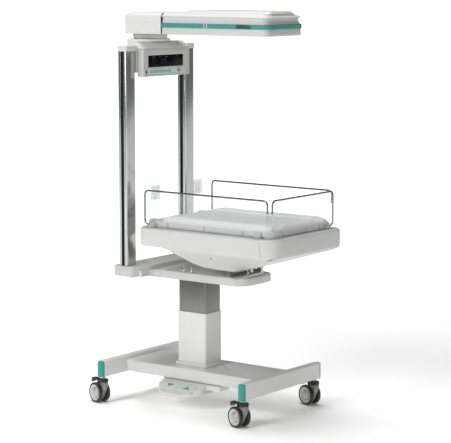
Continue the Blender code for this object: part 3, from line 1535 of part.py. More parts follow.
# Heater: a slotted grille on the window's lip, a trough reflector and one element in it
def make_heater():
    grille_z = HEAD_BOTTOM_Z + SHELL_WALL + FIT
    half = HEAT_WINDOW_HALF_X + GRILLE_LAP
    front, rear = HEAT_WINDOW_FRONT_Y - GRILLE_LAP, HEAT_WINDOW_REAR_Y + GRILLE_LAP
    bm = bmesh.new()
    add_block(bm, (-half, front, grille_z), (half, rear, grille_z + GRILLE_THICK))
    grille = add_piece("heater_grille", bm, steel, head)
    rim = GRILLE_LAP + GRILLE_RIM
    width = (2 * half - 2 * rim + GRILLE_BAR) / GRILLE_COLUMNS
    pitch = (rear - front - 2 * rim + GRILLE_BAR) / GRILLE_SLOTS
    bm = bmesh.new()
    for column in range(GRILLE_COLUMNS):
        for slot in range(GRILLE_SLOTS):
            x = rim - half + column * width
            y = front + rim + slot * pitch
            add_block(
                bm,
                (x, y, grille_z - OVERRUN),
                (x + width - GRILLE_BAR, y + pitch - GRILLE_BAR, grille_z + GRILLE_THICK + OVERRUN),
            )
    cut(grille, bm)

    foot = grille_z + GRILLE_THICK + FIT
    sheet = REFLECTOR_SHEET

    def arch(inset, floor):
        across = half - inset
        rise = REFLECTOR_RISE - inset
        steps = REFLECTOR_STEPS
        curve = [
            (across * math.cos(math.pi * step / steps), foot + rise * math.sin(math.pi * step / steps))
            for step in range(steps + 1)
        ]
        return [(across, floor), *curve[1:-1], (-across, floor)]

    bm = bmesh.new()
    add_prism(bm, arch(0, foot), front, rear, "Y")
    reflector = add_piece("heat_reflector", bm, bright_aluminium, head)
    bm = bmesh.new()
    add_prism(bm, arch(sheet, foot - OVERRUN), front + sheet, rear - sheet, "Y")
    cut(reflector, bm)
    outer_x = (ELEMENT_RUNS - 1) / 2 * ELEMENT_PITCH
    tail = rear + ELEMENT_PITCH / 2
    near, far = rear - ELEMENT_PITCH, front + ELEMENT_PITCH / 2
    for x in (-outer_x, outer_x):
        bm = bmesh.new()
        start = rear - sheet - OVERRUN
        hole = ELEMENT_RADIUS + 2 * RUNNING_FIT
        add_rod(bm, hole, (x, start, ELEMENT_Z), sheet + 2 * OVERRUN, "Y", ELEMENT_SIDES)
        cut(reflector, bm)
    corners = [(-outer_x, tail)]
    for run in range(ELEMENT_RUNS):
        x = run * ELEMENT_PITCH - outer_x
        ends = (near, far) if run % 2 == 0 else (far, near)
        if run > 0:
            corners.append((x, ends[0]))
        if run < ELEMENT_RUNS - 1:
            corners.append((x, ends[1]))
    corners.append((outer_x, tail))
    route = [(x, y, ELEMENT_Z) for x, y in corners]
    path = bent(route, ELEMENT_PITCH * BEND_SHARE, ELEMENT_BEND_STEPS)
    bm = bmesh.new()
    add_tube(bm, path, ELEMENT_RADIUS, ELEMENT_SIDES)
    add_piece("heater_element", bm, element_ceramic, head)

    seat = HEAD_BOTTOM_Z + SHELL_WALL + FIT
    flange = LAMP_RADIUS + LAMP_BEZEL
    profile = [
        (0, HEAD_BOTTOM_Z - LAMP_DROP),
        (LAMP_RADIUS - LAMP_DROP, HEAD_BOTTOM_Z - LAMP_DROP),
        (LAMP_RADIUS, HEAD_BOTTOM_Z),
        (LAMP_RADIUS, seat),
        (flange, seat),
        (flange, seat + LAMP_BEZEL / 2),
        (LAMP_RADIUS, seat + LAMP_BEZEL),
        (LAMP_RADIUS / 2, seat + LAMP_HEIGHT),
        (0, seat + LAMP_HEIGHT),
    ]
    bm = bmesh.new()
    add_turned(bm, profile, 20, (0, LAMP_Y, 0), "Z", start=math.pi / 20)
    add_piece("exam_lamp", bm, frosted_plastic, head)


# Bed tray: a hull with a flat rim, drawn as sections along its length
def belly_height(y, wall=0.0):
    """The height of the tray's underside, or of the floor above it, at a place along the tray."""
    length = TRAY_REAR_Y - TRAY_FRONT_Y
    depth = TRAY_RIM_Z - TRAY_BELLY_Z
    share = (y - TRAY_FRONT_Y) / length
    for (start, low), (end, high) in zip(TRAY_BELLY_SHARES, TRAY_BELLY_SHARES[1:]):
        if share <= end:
            part = max(0.0, (share - start) / (end - start))
            return TRAY_RIM_Z - depth * (low + (high - low) * part) + wall
    return TRAY_RIM_Z - depth * TRAY_BELLY_SHARES[-1][1] + wall


def tray_stations(inset):
    """Pairs of a place along the tray and the half width of its plan there."""
    front, rear = TRAY_FRONT_Y + inset, TRAY_REAR_Y - inset
    half, corner = TRAY_HALF_WIDTH - inset, TRAY_CORNER - inset
    steps = TRAY_CORNER_STEPS
    turns = [math.pi / 2 * step / steps for step in range(steps + 1)]
    opening = [
        (front + corner * (1 - math.cos(turn)), half - corner * (1 - math.sin(turn))) for turn in turns
    ]
    closing = [
        (rear - corner * (1 - math.cos(turn)), half - corner * (1 - math.sin(turn)))
        for turn in reversed(turns)
    ]
    length = TRAY_REAR_Y - TRAY_FRONT_Y
    belly = [TRAY_FRONT_Y + length * share for share, _ in TRAY_BELLY_SHARES]
    middle = [(y, half) for y in belly if front + corner < y < rear - corner]
    return opening + middle + closing


def tray_section(y, half, top, wall):
    bottom = belly_height(y, wall)
    turn = max(TRAY_TURN_Z, bottom + TRAY_TURN_RISE)
    narrow = half - (turn - bottom) / TRAY_BELLY_SLOPE
    ease = TRAY_TURN_RISE / 2
    right = [
        (narrow, bottom),
        (half - ease, turn - ease * TRAY_BELLY_SLOPE),
        (half, turn + ease),
        (half, top),
    ]
    whole = right + [(-x, z) for x, z in reversed(right)]
    return [on_plane(point, y, "Y") for point in whole]


def tray_outline(inset):
    half = TRAY_HALF_WIDTH - inset
    low = (-half, TRAY_FRONT_Y + inset)
    return rounded_rectangle(low, (half, TRAY_REAR_Y - inset), TRAY_CORNER - inset, 6)


def make_tray():
    bm = bmesh.new()
    above = TRAY_RIM_Z + OVERRUN
    loops = [tray_section(y, half, above, 0.0) for y, half in tray_stations(0.0)]
    add_loft(bm, loops)
    tray = add_piece("bed_tray", bm, white_plastic, bed)
    edge = TRAY_RIM_ROUND
    bm = bmesh.new()
    add_loft(
        bm,
        levels(
            [
                (tray_outline(-edge), TRAY_BELLY_Z - OVERRUN),
                (tray_outline(-edge), TRAY_RIM_Z - 2 * edge),
                (tray_outline(edge * EDGE_SHARE), TRAY_RIM_Z - edge * EDGE_SHARE),
                (tray_outline(edge), TRAY_RIM_Z),
            ]
        ),
    )
    use_boolean(tray, bm, "INTERSECT")
    ceiling = TRAY_RIM_Z - TRAY_RIM_THICK
    bm = bmesh.new()
    wall = TRAY_WALL
    loops = [tray_section(y, half, ceiling, wall) for y, half in tray_stations(wall)]
    add_loft(bm, loops)
    cut(tray, bm)
    bm = bmesh.new()
    outline = rounded_rectangle(
        (-TRAY_OPENING_HALF_X, TRAY_OPENING_FRONT_Y),
        (TRAY_OPENING_HALF_X, TRAY_OPENING_REAR_Y),
        TRAY_OPENING_CORNER,
    )
    add_prism(bm, outline, ceiling - OVERRUN, TRAY_RIM_Z + OVERRUN)
    cut(tray, bm)

    slot_x = TILT_EAR_X + TILT_EAR_THICK / 2 + TILT_BLOCK_GAP
    floor = TRAY_BELLY_Z + wall / 2
    high = TILT_Z + TILT_BLOCK_ABOVE_PIN
    for side in (-1, 1):
        xs = sorted((side * slot_x, side * (slot_x + TILT_BLOCK_LENGTH)))
        bm = bmesh.new()
        add_block(
            bm,
            (xs[0], TILT_Y - TILT_BLOCK_HALF_DEPTH, floor),
            (xs[1], TILT_Y + TILT_BLOCK_HALF_DEPTH, high),
        )
        join(tray, bm)
    bm = bmesh.new()
    add_block(
        bm,
        (-slot_x, TILT_Y - TILT_SLOT_HALF_Y, TRAY_BELLY_Z - OVERRUN),
        (slot_x, TILT_Y + TILT_SLOT_HALF_Y, high + OVERRUN),
    )
    cut(tray, bm)
    reach = TILT_PIN_HALF_LENGTH + FIT
    bm = bmesh.new()
    add_rod(
        bm, TILT_PIN_RADIUS + RUNNING_FIT, (-reach, TILT_Y, TILT_Z), 2 * reach, "X", 20
    )
    cut(tray, bm)


# Tilt bracket on the arm: a plate, two ears and the pin that the tray rocks on
def make_tilt_bracket():
    base = ARM_BOTTOM_Z + ARM_BEAM_HEIGHT + FIT
    bm = bmesh.new()
    outline = rounded_rectangle(
        (-TILT_PLATE_HALF_X, TILT_Y - TILT_PLATE_HALF_Y),
        (TILT_PLATE_HALF_X, TILT_Y + TILT_PLATE_HALF_Y),
        TILT_PLATE_CORNER,
        2,
    )
    add_prism(bm, outline, base, base + TILT_PLATE_THICK)
    bracket = add_piece("tilt_bracket", bm, steel, lift)
    depth = TILT_EAR_HALF_DEPTH
    for side in (-1, 1):
        near = side * TILT_EAR_X - TILT_EAR_THICK / 2
        outline = rounded(
            [
                (TILT_Y - 2 * depth, base + TILT_PLATE_THICK / 2),
                (TILT_Y + 2 * depth, base + TILT_PLATE_THICK / 2),
                (TILT_Y + depth, TILT_Z + TILT_EAR_ABOVE_PIN),
                (TILT_Y - depth, TILT_Z + TILT_EAR_ABOVE_PIN),
            ],
            [0, 0, depth / 2, depth / 2],
        )
        bm = bmesh.new()
        add_prism(bm, outline, near, near + TILT_EAR_THICK, "X")
        join(bracket, bm)
    bm = bmesh.new()
    add_rod(
        bm, TILT_PIN_RADIUS, (-TILT_PIN_HALF_LENGTH, TILT_Y, TILT_Z), 2 * TILT_PIN_HALF_LENGTH, "X", 20
    )
    join(bracket, bm)


# Tilt handle: a grip bar on two roots under the hull, with a squeeze lever below it
def make_tilt_handle():
    length = HANDLE_INNER_X - HANDLE_OUTER_X
    bm = bmesh.new()
    radius = HANDLE_RADIUS
    ring = HANDLE_RING_X - HANDLE_OUTER_X
    ring_end = ring + HANDLE_RING_WIDTH
    proud = radius + HANDLE_RING_PROUD
    profile = [
        (0, 0),
        (radius * EDGE_SHARE, 0),
        (radius, radius * EDGE_SHARE),
        (radius, ring),
        (proud, ring),
        (proud, ring_end),
        (radius, ring_end),
        (radius, length),
        (0, length),
    ]
    add_turned(bm, profile, HANDLE_SIDES, (HANDLE_OUTER_X, HANDLE_Y, HANDLE_Z), "X")
    handle = add_piece("tilt_handle", bm, black_plastic, bed)
    half_y = HANDLE_ROOT_HALF_Y
    tops = [(HANDLE_Y + step * half_y) for step in (-1, 1)]
    for x in (LEVER_PIN_X, HANDLE_RING_X + HANDLE_ROOT_HALF_X * 2):
        low = HANDLE_Z if x != LEVER_PIN_X else LEVER_PIN_Z - LEVER_THICK / 2
        outline = [
            (tops[0], low),
            (tops[1], low),
            (tops[1], belly_height(tops[1]) - FIT),
            (tops[0], belly_height(tops[0]) - FIT),
        ]
        bm = bmesh.new()
        add_prism(bm, outline, x - HANDLE_ROOT_HALF_X / 2, x + HANDLE_ROOT_HALF_X / 2, "X")
        join(handle, bm)
    slot = LEVER_HALF_WIDTH + LEVER_CHEEK_GAP
    room = HANDLE_ROOT_HALF_X
    bm = bmesh.new()
    add_block(
        bm,
        (LEVER_PIN_X - room, HANDLE_Y - slot, LEVER_PIN_Z - 2 * LEVER_THICK),
        (LEVER_PIN_X + room, HANDLE_Y + slot, LEVER_PIN_Z + LEVER_THICK * SLOT_SHARE),
    )
    cut(handle, bm)
    reach = HANDLE_ROOT_HALF_Y - LEVER_CHEEK + FIT
    bm = bmesh.new()
    start = (LEVER_PIN_X, HANDLE_Y - reach, LEVER_PIN_Z)
    add_rod(bm, LEVER_PIN_RADIUS + FIT, start, 2 * reach, "Y", 8)
    cut(handle, bm)

    pivot = add_pivot("lever_pivot", (LEVER_PIN_X, HANDLE_Y, LEVER_PIN_Z), bed)
    half = LEVER_THICK / 2
    tip = LEVER_THICK / 2 * EDGE_SHARE
    outline = rounded(
        [
            (LEVER_OUTER_X, LEVER_TIP_Z - tip),
            (LEVER_PIN_X + half, LEVER_PIN_Z - half),
            (LEVER_PIN_X + half, LEVER_PIN_Z + half),
            (LEVER_OUTER_X, LEVER_TIP_Z + tip),
        ],
        [tip / 2, half / 2, half / 2, tip / 2],
        2,
    )
    bm = bmesh.new()
    add_prism(bm, outline, HANDLE_Y - LEVER_HALF_WIDTH, HANDLE_Y + LEVER_HALF_WIDTH, "Y")
    lever = add_piece("tilt_lever", bm, white_plastic, pivot)
    bm = bmesh.new()
    reach = HANDLE_ROOT_HALF_Y - LEVER_CHEEK
    start = (LEVER_PIN_X, HANDLE_Y - reach, LEVER_PIN_Z)
    add_rod(bm, LEVER_PIN_RADIUS, start, 2 * reach, "Y", 8)
    join(lever, bm)


# Mattress platform: a shallow clear pan with the clip blocks that the guard panels hinge on
def make_platform():
    foot = TRAY_RIM_Z + FIT
    top = foot + PLATFORM_HEIGHT
    half, front, rear = PLATFORM_HALF_WIDTH, PLATFORM_FRONT_Y, PLATFORM_REAR_Y
    taper = PLATFORM_TAPER
    bm = bmesh.new()
    lower = rounded_rectangle(
        (taper - half, front + taper), (half - taper, rear - taper), PLATFORM_CORNER - taper
    )
    upper = rounded_rectangle((-half, front), (half, rear), PLATFORM_CORNER)
    add_loft(bm, levels([(lower, foot), (upper, foot + taper), (upper, top)]))
    platform = add_piece("mattress_platform", bm, frosted_plastic, bed)
    for place in clip_places():
        low, high = place
        bm = bmesh.new()
        add_block(bm, low, high)
        join(platform, bm)
    wall = PLATFORM_WALL
    bm = bmesh.new()
    inner = rounded_rectangle(
        (wall - half, front + wall), (half - wall, rear - wall), PLATFORM_CORNER - wall
    )
    add_prism(bm, inner, foot + PLATFORM_FLOOR, top + OVERRUN)
    cut(platform, bm)
    bore = ROD_THICK_RADIUS + CLIP_BORE_GAP
    length = PANEL_REAR_Y - PANEL_FRONT_Y
    for x in (-HINGE_X, HINGE_X):
        bm = bmesh.new()
        add_rod(bm, bore, (x, PANEL_FRONT_Y, HINGE_Z), length, "Y", ROD_SIDES * 2)
        cut(platform, bm)
    bm = bmesh.new()
    start = (-HINGE_X, FRONT_HINGE_Y, HINGE_Z)
    add_rod(bm, bore, start, 2 * HINGE_X, "X", ROD_SIDES * 2)
    cut(platform, bm)
    gap = REAR_SLOT_GAP + PANE_THICK / 2
    bm = bmesh.new()
    add_block(
        bm,
        (-half, REAR_PANE_Y - gap, REAR_PANE_FOOT_Z - REAR_SLOT_GAP),
        (half, REAR_PANE_Y + gap, top + REAR_SLOT_HEIGHT),
    )
    cut(platform, bm)


def clip_places():
    """The corners of each block that stands on the platform's outer wall."""
    lap = PLATFORM_HALF_WIDTH - PLATFORM_WALL / 2
    top = HINGE_Z + CLIP_TOP_RISE
    places = []
    for side in (-1, 1):
        xs = sorted((side * lap, side * (HINGE_X + CLIP_OUTSIDE)))
        for y in side_clip_middles():
            places.append(
                ((xs[0], y - CLIP_HALF_LENGTH, CLIP_FOOT_Z), (xs[1], y + CLIP_HALF_LENGTH, top))
            )
        front = FRONT_HINGE_Y - CLIP_OUTSIDE
        x = side * front_clip_middle()
        places.append(
            (
                (x - CLIP_HALF_LENGTH, front, CLIP_FOOT_Z),
                (x + CLIP_HALF_LENGTH, PLATFORM_FRONT_Y + PLATFORM_WALL / 2, top),
            )
        )
        x = side * REAR_SLOT_X
        inside = PLATFORM_REAR_Y - PLATFORM_WALL / 2
        outside = REAR_PANE_Y + PANE_THICK / 2 + REAR_SLOT_GAP + REAR_SLOT_WALL
        floor = REAR_PANE_FOOT_Z - REAR_SLOT_WALL / 2
        places.append(
            (
                (x - REAR_SLOT_HALF_LENGTH, inside, floor),
                (x + REAR_SLOT_HALF_LENGTH, outside, TRAY_RIM_Z + FIT + REAR_SLOT_HEIGHT),
            )
        )
    return places


def side_clip_middles():
    return (PANEL_FRONT_Y + CLIP_INSET, PANEL_REAR_Y - CLIP_INSET)


def front_clip_middle():
    return FRONT_PANEL_HALF - CLIP_INSET


# Mattress: one crowned cushion in the pan
def make_mattress():
    foot = TRAY_RIM_Z + PLATFORM_FLOOR + 2 * FIT
    height = MATTRESS_TOP_Z - foot
    half = MATTRESS_HALF_WIDTH
    bm = bmesh.new()

    def edge_outline(inset):
        low = (inset - half, MATTRESS_FRONT_Y + inset)
        high = (half - inset, MATTRESS_REAR_Y - inset)
        return rounded_rectangle(low, high, PLATFORM_CORNER - inset, 5)

    draw = MATTRESS_DRAW_IN
    rim = height * MATTRESS_MIDDLE_SHARE
    crown = height * MATTRESS_CROWN_SHARE
    shoulder = height - crown
    add_loft(
        bm,
        levels(
            [
                (edge_outline(3 * draw), foot),
                (edge_outline(draw), foot + draw),
                (edge_outline(0), foot + rim),
                (edge_outline(draw), foot + shoulder - draw),
                (edge_outline(3 * draw), foot + shoulder),
                (edge_outline(7 * draw), foot + shoulder + crown * CROWN_SHOULDER_SHARE),
            ]
        ),
    )
    add_piece("mattress", bm, mattress_cover, bed)


# Guard panels: a clear pane inside a bent rod, folding outwards about the rod's foot
def make_side_panel(name, side):
    x = side * HINGE_X
    middle = (PANEL_FRONT_Y + PANEL_REAR_Y) / 2
    pivot = add_pivot(f"guard_{name}_pivot", (x, middle, HINGE_Z), bed)
    front, rear = PANEL_FRONT_Y, PANEL_REAR_Y
    clip_front, clip_rear = side_clip_middles()
    top = PANEL_TOP_Z
    inner_end = clip_rear - CLIP_HALF_LENGTH / 2
    path = bent(
        [
            (x, inner_end, HINGE_Z),
            (x, rear, HINGE_Z),
            (x, rear, top),
            (x, front, top),
            (x, front, top - SHORT_LEG),
        ],
        ROD_BEND,
    )
    bm = bmesh.new()
    add_tube(bm, path, ROD_THICK_RADIUS, ROD_SIDES)
    add_piece(f"guard_rod_{name}", bm, chrome, pivot)

    reach = ROD_THICK_RADIUS + FIT
    half = PANE_THICK / 2
    foot = HINGE_Z - PANE_FOOT_DROP
    low, high = front + reach, rear - reach
    rise = HINGE_Z + math.hypot(CLIP_TOP_RISE, CLIP_OUTSIDE) + CLIP_NOTCH_GAP
    gap = CLIP_HALF_LENGTH + CLIP_NOTCH_GAP
    outline = rounded(
        [
            (low, foot),
            (clip_front - gap, foot),
            (clip_front - gap, rise),
            (clip_front + gap, rise),
            (clip_front + gap, foot),
            (clip_rear - gap, foot),
            (clip_rear - gap, rise),
            (high, rise),
            (high, top - reach),
            (low, top - reach),
        ],
        [0, 0, 0, 0, 0, 0, 0, PANE_EASE, ROD_BEND, ROD_BEND],
    )
    bm = bmesh.new()
    add_prism(bm, outline, x - half, x + half, "X")
    pane = add_piece(f"guard_pane_{name}", bm, clear_acrylic, pivot)
    bm = bmesh.new()
    start = clip_front
    add_rod(bm, ROD_THICK_RADIUS, (x, start, HINGE_Z), gap + PIN_KNUCKLE_RISE * 2, "Y", ROD_SIDES)
    join(pane, bm)
    bm = bmesh.new()
    start = clip_rear - gap - PIN_KNUCKLE_RISE * 2
    length = inner_end - FIT - start
    add_rod(bm, ROD_THICK_RADIUS, (x, start, HINGE_Z), length, "Y", ROD_SIDES)
    join(pane, bm)


def make_front_panel():
    pivot = add_pivot("guard_front_pivot", (0, FRONT_HINGE_Y, HINGE_Z), bed)
    y, half, top = FRONT_HINGE_Y, FRONT_PANEL_HALF, PANEL_TOP_Z
    clip = front_clip_middle()
    inner_end = clip - CLIP_HALF_LENGTH / 2
    path = bent(
        [
            (inner_end, y, HINGE_Z),
            (half, y, HINGE_Z),
            (half, y, top),
            (-half, y, top),
            (-half, y, top - SHORT_LEG),
        ],
        ROD_BEND,
    )
    bm = bmesh.new()
    add_tube(bm, path, ROD_THICK_RADIUS, ROD_SIDES)
    add_piece("guard_rod_front", bm, chrome, pivot)
    reach = ROD_THICK_RADIUS + FIT
    thick = PANE_THICK / 2
    foot = HINGE_Z - PANE_FOOT_DROP
    edge = half - reach
    rise = HINGE_Z + math.hypot(CLIP_TOP_RISE, CLIP_OUTSIDE) + CLIP_NOTCH_GAP
    gap = CLIP_HALF_LENGTH + CLIP_NOTCH_GAP
    outline = rounded(
        [
            (-edge, foot),
            (-clip - gap, foot),
            (-clip - gap, rise),
            (-clip + gap, rise),
            (-clip + gap, foot),
            (clip - gap, foot),
            (clip - gap, rise),
            (edge, rise),
            (edge, top - reach),
            (-edge, top - reach),
        ],
        [0, 0, 0, 0, 0, 0, 0, PANE_EASE, ROD_BEND, ROD_BEND],
    )
    bm = bmesh.new()
    add_prism(bm, outline, y - thick, y + thick, "Y")
    pane = add_piece("guard_pane_front", bm, clear_acrylic, pivot)
    bm = bmesh.new()
    add_rod(bm, ROD_THICK_RADIUS, (-clip, y, HINGE_Z), gap + PIN_KNUCKLE_RISE * 2, "X", ROD_SIDES)
    join(pane, bm)
    bm = bmesh.new()
    start = clip - gap - PIN_KNUCKLE_RISE * 2
    add_rod(bm, ROD_THICK_RADIUS, (start, y, HINGE_Z), inner_end - FIT - start, "X", ROD_SIDES)
    join(pane, bm)


# Rear pane: lifts in two slots, with a notch for tubes and two clear tube guides
def make_rear_pane():
    y, half, top = REAR_PANE_Y, REAR_PANE_HALF_WIDTH, REAR_PANE_TOP_Z
    notch, floor = REAR_NOTCH_HALF_WIDTH, REAR_PANE_TOP_Z - REAR_NOTCH_DEPTH
    corner, ease = REAR_PANE_CORNER, REAR_NOTCH_CORNER
    outline = rounded(
        [
            (-half, REAR_PANE_FOOT_Z),
            (half, REAR_PANE_FOOT_Z),
            (half, top),
            (notch, top),
            (notch, floor),
            (-notch, floor),
            (-notch, top),
            (-half, top),
        ],
        [ease / 2, ease / 2, corner, ease, ease, ease, ease, corner],
        3,
    )
    pivot = add_pivot("rear_pane_pivot", (0, y, REAR_PANE_FOOT_Z), bed)
    bm = bmesh.new()
    add_prism(bm, outline, y - PANE_THICK / 2, y + PANE_THICK / 2, "Y")
    pane = add_piece("rear_pane", bm, clear_acrylic, pivot)
    for side in (-1, 1):
        x = side * GUIDE_X
        bm = bmesh.new()
        low = (x - GUIDE_HALF_WIDTH, top - GUIDE_DROP)
        high = (x + GUIDE_HALF_WIDTH, top + GUIDE_RISE)
        plate = rounded_rectangle(low, high, GUIDE_CORNER, 2)
        add_prism(bm, plate, y - GUIDE_THICK / 2, y + GUIDE_THICK / 2, "Y")
        join(pane, bm)
        bm = bmesh.new()
        slot = GUIDE_SLOT / 2
        add_block(
            bm,
            (x - slot, y - GUIDE_THICK, top + GUIDE_RISE - GUIDE_SLOT_DEPTH),
            (x + slot, y + GUIDE_THICK, top + GUIDE_RISE + OVERRUN),
        )
        cut(pane, bm)


make_head_hub()
make_canopy()
make_trim()
make_head_base()
make_heater()
make_tray()
make_tilt_bracket()
make_tilt_handle()
make_platform()
make_mattress()
make_side_panel("left", -1)
make_side_panel("right", 1)
make_front_panel()
make_rear_pane()
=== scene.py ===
"""The infant warmer's looks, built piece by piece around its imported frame.

Metres, +Z up. The floor is z = 0, the bed's foot end and the overhanging head point to -Y,
and the mast stands at the +Y end. Each section holds one piece or a group of like pieces.
"""

import math

import bmesh
import bpy
from mathutils import Matrix, Vector


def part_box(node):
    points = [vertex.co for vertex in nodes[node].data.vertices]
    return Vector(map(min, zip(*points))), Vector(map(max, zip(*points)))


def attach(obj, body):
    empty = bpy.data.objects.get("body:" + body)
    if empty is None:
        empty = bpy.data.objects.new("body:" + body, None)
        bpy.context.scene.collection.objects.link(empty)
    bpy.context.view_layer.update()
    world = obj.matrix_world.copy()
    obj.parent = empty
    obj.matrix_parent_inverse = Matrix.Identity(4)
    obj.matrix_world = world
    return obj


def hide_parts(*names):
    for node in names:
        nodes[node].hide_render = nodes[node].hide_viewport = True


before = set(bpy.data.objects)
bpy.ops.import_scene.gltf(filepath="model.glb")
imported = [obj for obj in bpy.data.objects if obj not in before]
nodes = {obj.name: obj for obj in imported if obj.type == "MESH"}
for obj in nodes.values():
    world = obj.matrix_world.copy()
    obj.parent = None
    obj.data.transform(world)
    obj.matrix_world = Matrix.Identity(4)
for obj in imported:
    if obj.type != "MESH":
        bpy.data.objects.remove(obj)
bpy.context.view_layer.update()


# The studio. A pale floor runs out of the view on every side, so it is the backdrop too.
# It shines a little towards the camera, which keeps it white where it is lit, and it takes
# the soft grey shadow under the base.
class Wire:
    """An output of a shader node. Arithmetic on it adds Math nodes."""

    def __init__(self, finish, socket):
        self.finish = finish
        self.socket = socket

    def math(self, operation, *values):
        return self.finish.node("Math", {"operation": operation}, dict(enumerate(values)))

    def __add__(self, other):
        return self.math("ADD", self, other)

    __radd__ = __add__

    def __rsub__(self, other):
        return self.math("SUBTRACT", other, self)

    def __mul__(self, other):
        return self.math("MULTIPLY", self, other)

    __rmul__ = __mul__


class Finish:
    """A material: its slot in the record, its shader's constants, and its other nodes."""

    def __init__(self, name, slot="white_plastic", **constants):
        self.slot = slot
        self.material = bpy.data.materials.new(name)
        self.material.use_nodes = True
        self.tree = self.material.node_tree
        self.shader = self.tree.nodes["Principled BSDF"]
        self.feed(**constants)

    def join(self, value, socket):
        if isinstance(value, Wire):
            self.tree.links.new(value.socket, socket)
        else:
            socket.default_value = value

    def node(self, kind, settings, inputs, output=0):
        added = self.tree.nodes.new("ShaderNode" + kind)
        for setting, value in settings.items():
            setattr(added, setting, value)
        for place, value in inputs.items():
            self.join(value, added.inputs[place])
        return Wire(self, added.outputs[output])

    def feed(self, **values):
        for socket_name, value in values.items():
            self.join(value, self.shader.inputs[socket_name.replace("_", " ")])

    def mix(self, share, first, second):
        """A colour between two, by a share from 0 to 1."""
        sockets = {0: share, 6: first, 7: second}
        return self.node("Mix", {"data_type": "RGBA"}, sockets, 2)

    def place(self):
        return self.node("TexCoord", {}, {}, "Object")

    def noise(self, scale, detail=2.0):
        """A soft random pattern from 0 to 1, with so many patches to the metre."""
        sockets = {"Vector": self.place(), "Scale": scale, "Detail": detail}
        return self.node("TexNoise", {}, sockets)

    def bump(self, height, distance, strength=1.0):
        sockets = {"Height": height, "Distance": distance, "Strength": strength}
        self.feed(Normal=self.node("Bump", {}, sockets))


def colour(red, green, blue):
    return (red, green, blue, 1.0)


def add_object(name, data):
    thing = bpy.data.objects.new(name, data)
    bpy.context.scene.collection.objects.link(thing)
    return thing


def add_shape(name, mesh):
    """A new object that takes a shape over."""
    data = bpy.data.meshes.new(name)
    mesh.to_mesh(data)
    mesh.free()
    return add_object(name, data)


FLOOR_HALF = 300.0
FLOOR_GREY = colour(0.96, 0.96, 0.96)
FLOOR_SEEN = colour(1.37, 1.37, 1.37)
# Between these distances from the middle the floor fades from its own colour to plain white
FLOOR_NEAR = 1.4
FLOOR_FAR = 5.5
FLOOR_GLOW = 0.24
FLOOR_MIRRORED = 0.42

floor_mesh = bmesh.new()
bmesh.ops.create_grid(floor_mesh, x_segments=1, y_segments=1, size=FLOOR_HALF)
floor = add_shape("studio_floor", floor_mesh)
floor_paint = Finish("floor_paint", Base_Color=FLOOR_GREY, Roughness=0.9, Specular_IOR_Level=0.0)
rays = [
    floor_paint.node("LightPath", {}, {}, ray)
    for ray in ("Is Camera Ray", "Is Glossy Ray", "Is Transmission Ray")
]
way_out = floor_paint.node("VectorMath", {"operation": "LENGTH"}, {0: floor_paint.place()}, "Value")
fade = floor_paint.node(
    "MapRange",
    {"interpolation_type": "SMOOTHSTEP"},
    {"Value": way_out, "From Min": FLOOR_NEAR, "From Max": FLOOR_FAR},
)
glow_strength = (rays[0] + FLOOR_MIRRORED * rays[1] + rays[2]) * fade + FLOOR_GLOW * (1.0 - rays[0])
floor_paint.feed(Base_Color=floor_paint.mix(rays[0], FLOOR_GREY, FLOOR_SEEN))
glow = floor_paint.node("Emission", {}, {"Color": colour(1, 1, 1), "Strength": glow_strength})
floor_light = floor_paint.node(
    "AddShader", {}, {0: glow, 1: Wire(floor_paint, floor_paint.shader.outputs[0])}
)
floor_end = floor_paint.tree.nodes["Material Output"]
floor_paint.join(floor_light, floor_end.inputs["Surface"])
floor.data.materials.append(floor_paint.material)

# The air lights the object softly, and the camera sees it white
AIR_LIGHT = 0.20
world = bpy.data.worlds.new("studio_air")
world.use_nodes = True
air = world.node_tree.nodes["Background"]
air.inputs["Color"].default_value = colour(1.0, 1.0, 1.0)
sight = world.node_tree.nodes.new("ShaderNodeLightPath")
lifted = world.node_tree.nodes.new("ShaderNodeMath")
lifted.operation = "MULTIPLY_ADD"
lifted.inputs[1].default_value = 1.0 - AIR_LIGHT
lifted.inputs[2].default_value = AIR_LIGHT
world.node_tree.links.new(sight.outputs["Is Camera Ray"], lifted.inputs[0])
world.node_tree.links.new(lifted.outputs[0], air.inputs["Strength"])
bpy.context.scene.world = world

LAMP_AIM = Vector((0.0, 0.0, 0.9))
lamps = (
    ("key_lamp", (-5.3, 0.6, 3.4), 3.0, 155.0),
    ("fill_lamp", (-1.8, -6.0, 1.2), 3.2, 34.0),
    ("top_lamp", (0.3, 0.6, 5.6), 3.0, 150.0),
)
for lamp_name, lamp_place, lamp_width, lamp_power in lamps:
    lamp_data = bpy.data.lights.new(lamp_name, "AREA")
    lamp_data.shape = "DISK"
    lamp_data.size = lamp_width
    lamp_data.energy = lamp_power
    lamp = add_object(lamp_name, lamp_data)
    lamp.location = lamp_place
    aim = LAMP_AIM - Vector(lamp_place)
    lamp.rotation_euler = aim.to_track_quat("-Z", "Y").to_euler()

# The camera stands where the photograph was taken from, a little above the bed, looking at
# its foot end and its left side.
CAMERA_PLACE = (-7.0842, -5.4092, 2.1087)
CAMERA_DOWN = math.radians(7.665)
CAMERA_TURN = math.radians(-52.965)
CAMERA_LENS = 148.25

camera_data = bpy.data.cameras.new("photo_camera")
camera_data.lens = CAMERA_LENS
camera_data.clip_end = 2 * FLOOR_HALF
camera = add_object("photo_camera", camera_data)
camera.location = CAMERA_PLACE
camera.rotation_euler = (math.pi / 2 - CAMERA_DOWN, 0, CAMERA_TURN)
bpy.context.scene.camera = camera
bpy.context.scene.view_settings.view_transform = "Standard"


# The base: a pressed deck welded between two rectangular cross rails and powder coated white.
# Each rail end is closed by a soft teal bumper cap that is pushed in by its spigot.
SAME_PLACE = 0.00002
FLAT_ANGLE = math.radians(1.0)
SHARP_ANGLE = math.radians(32.0)


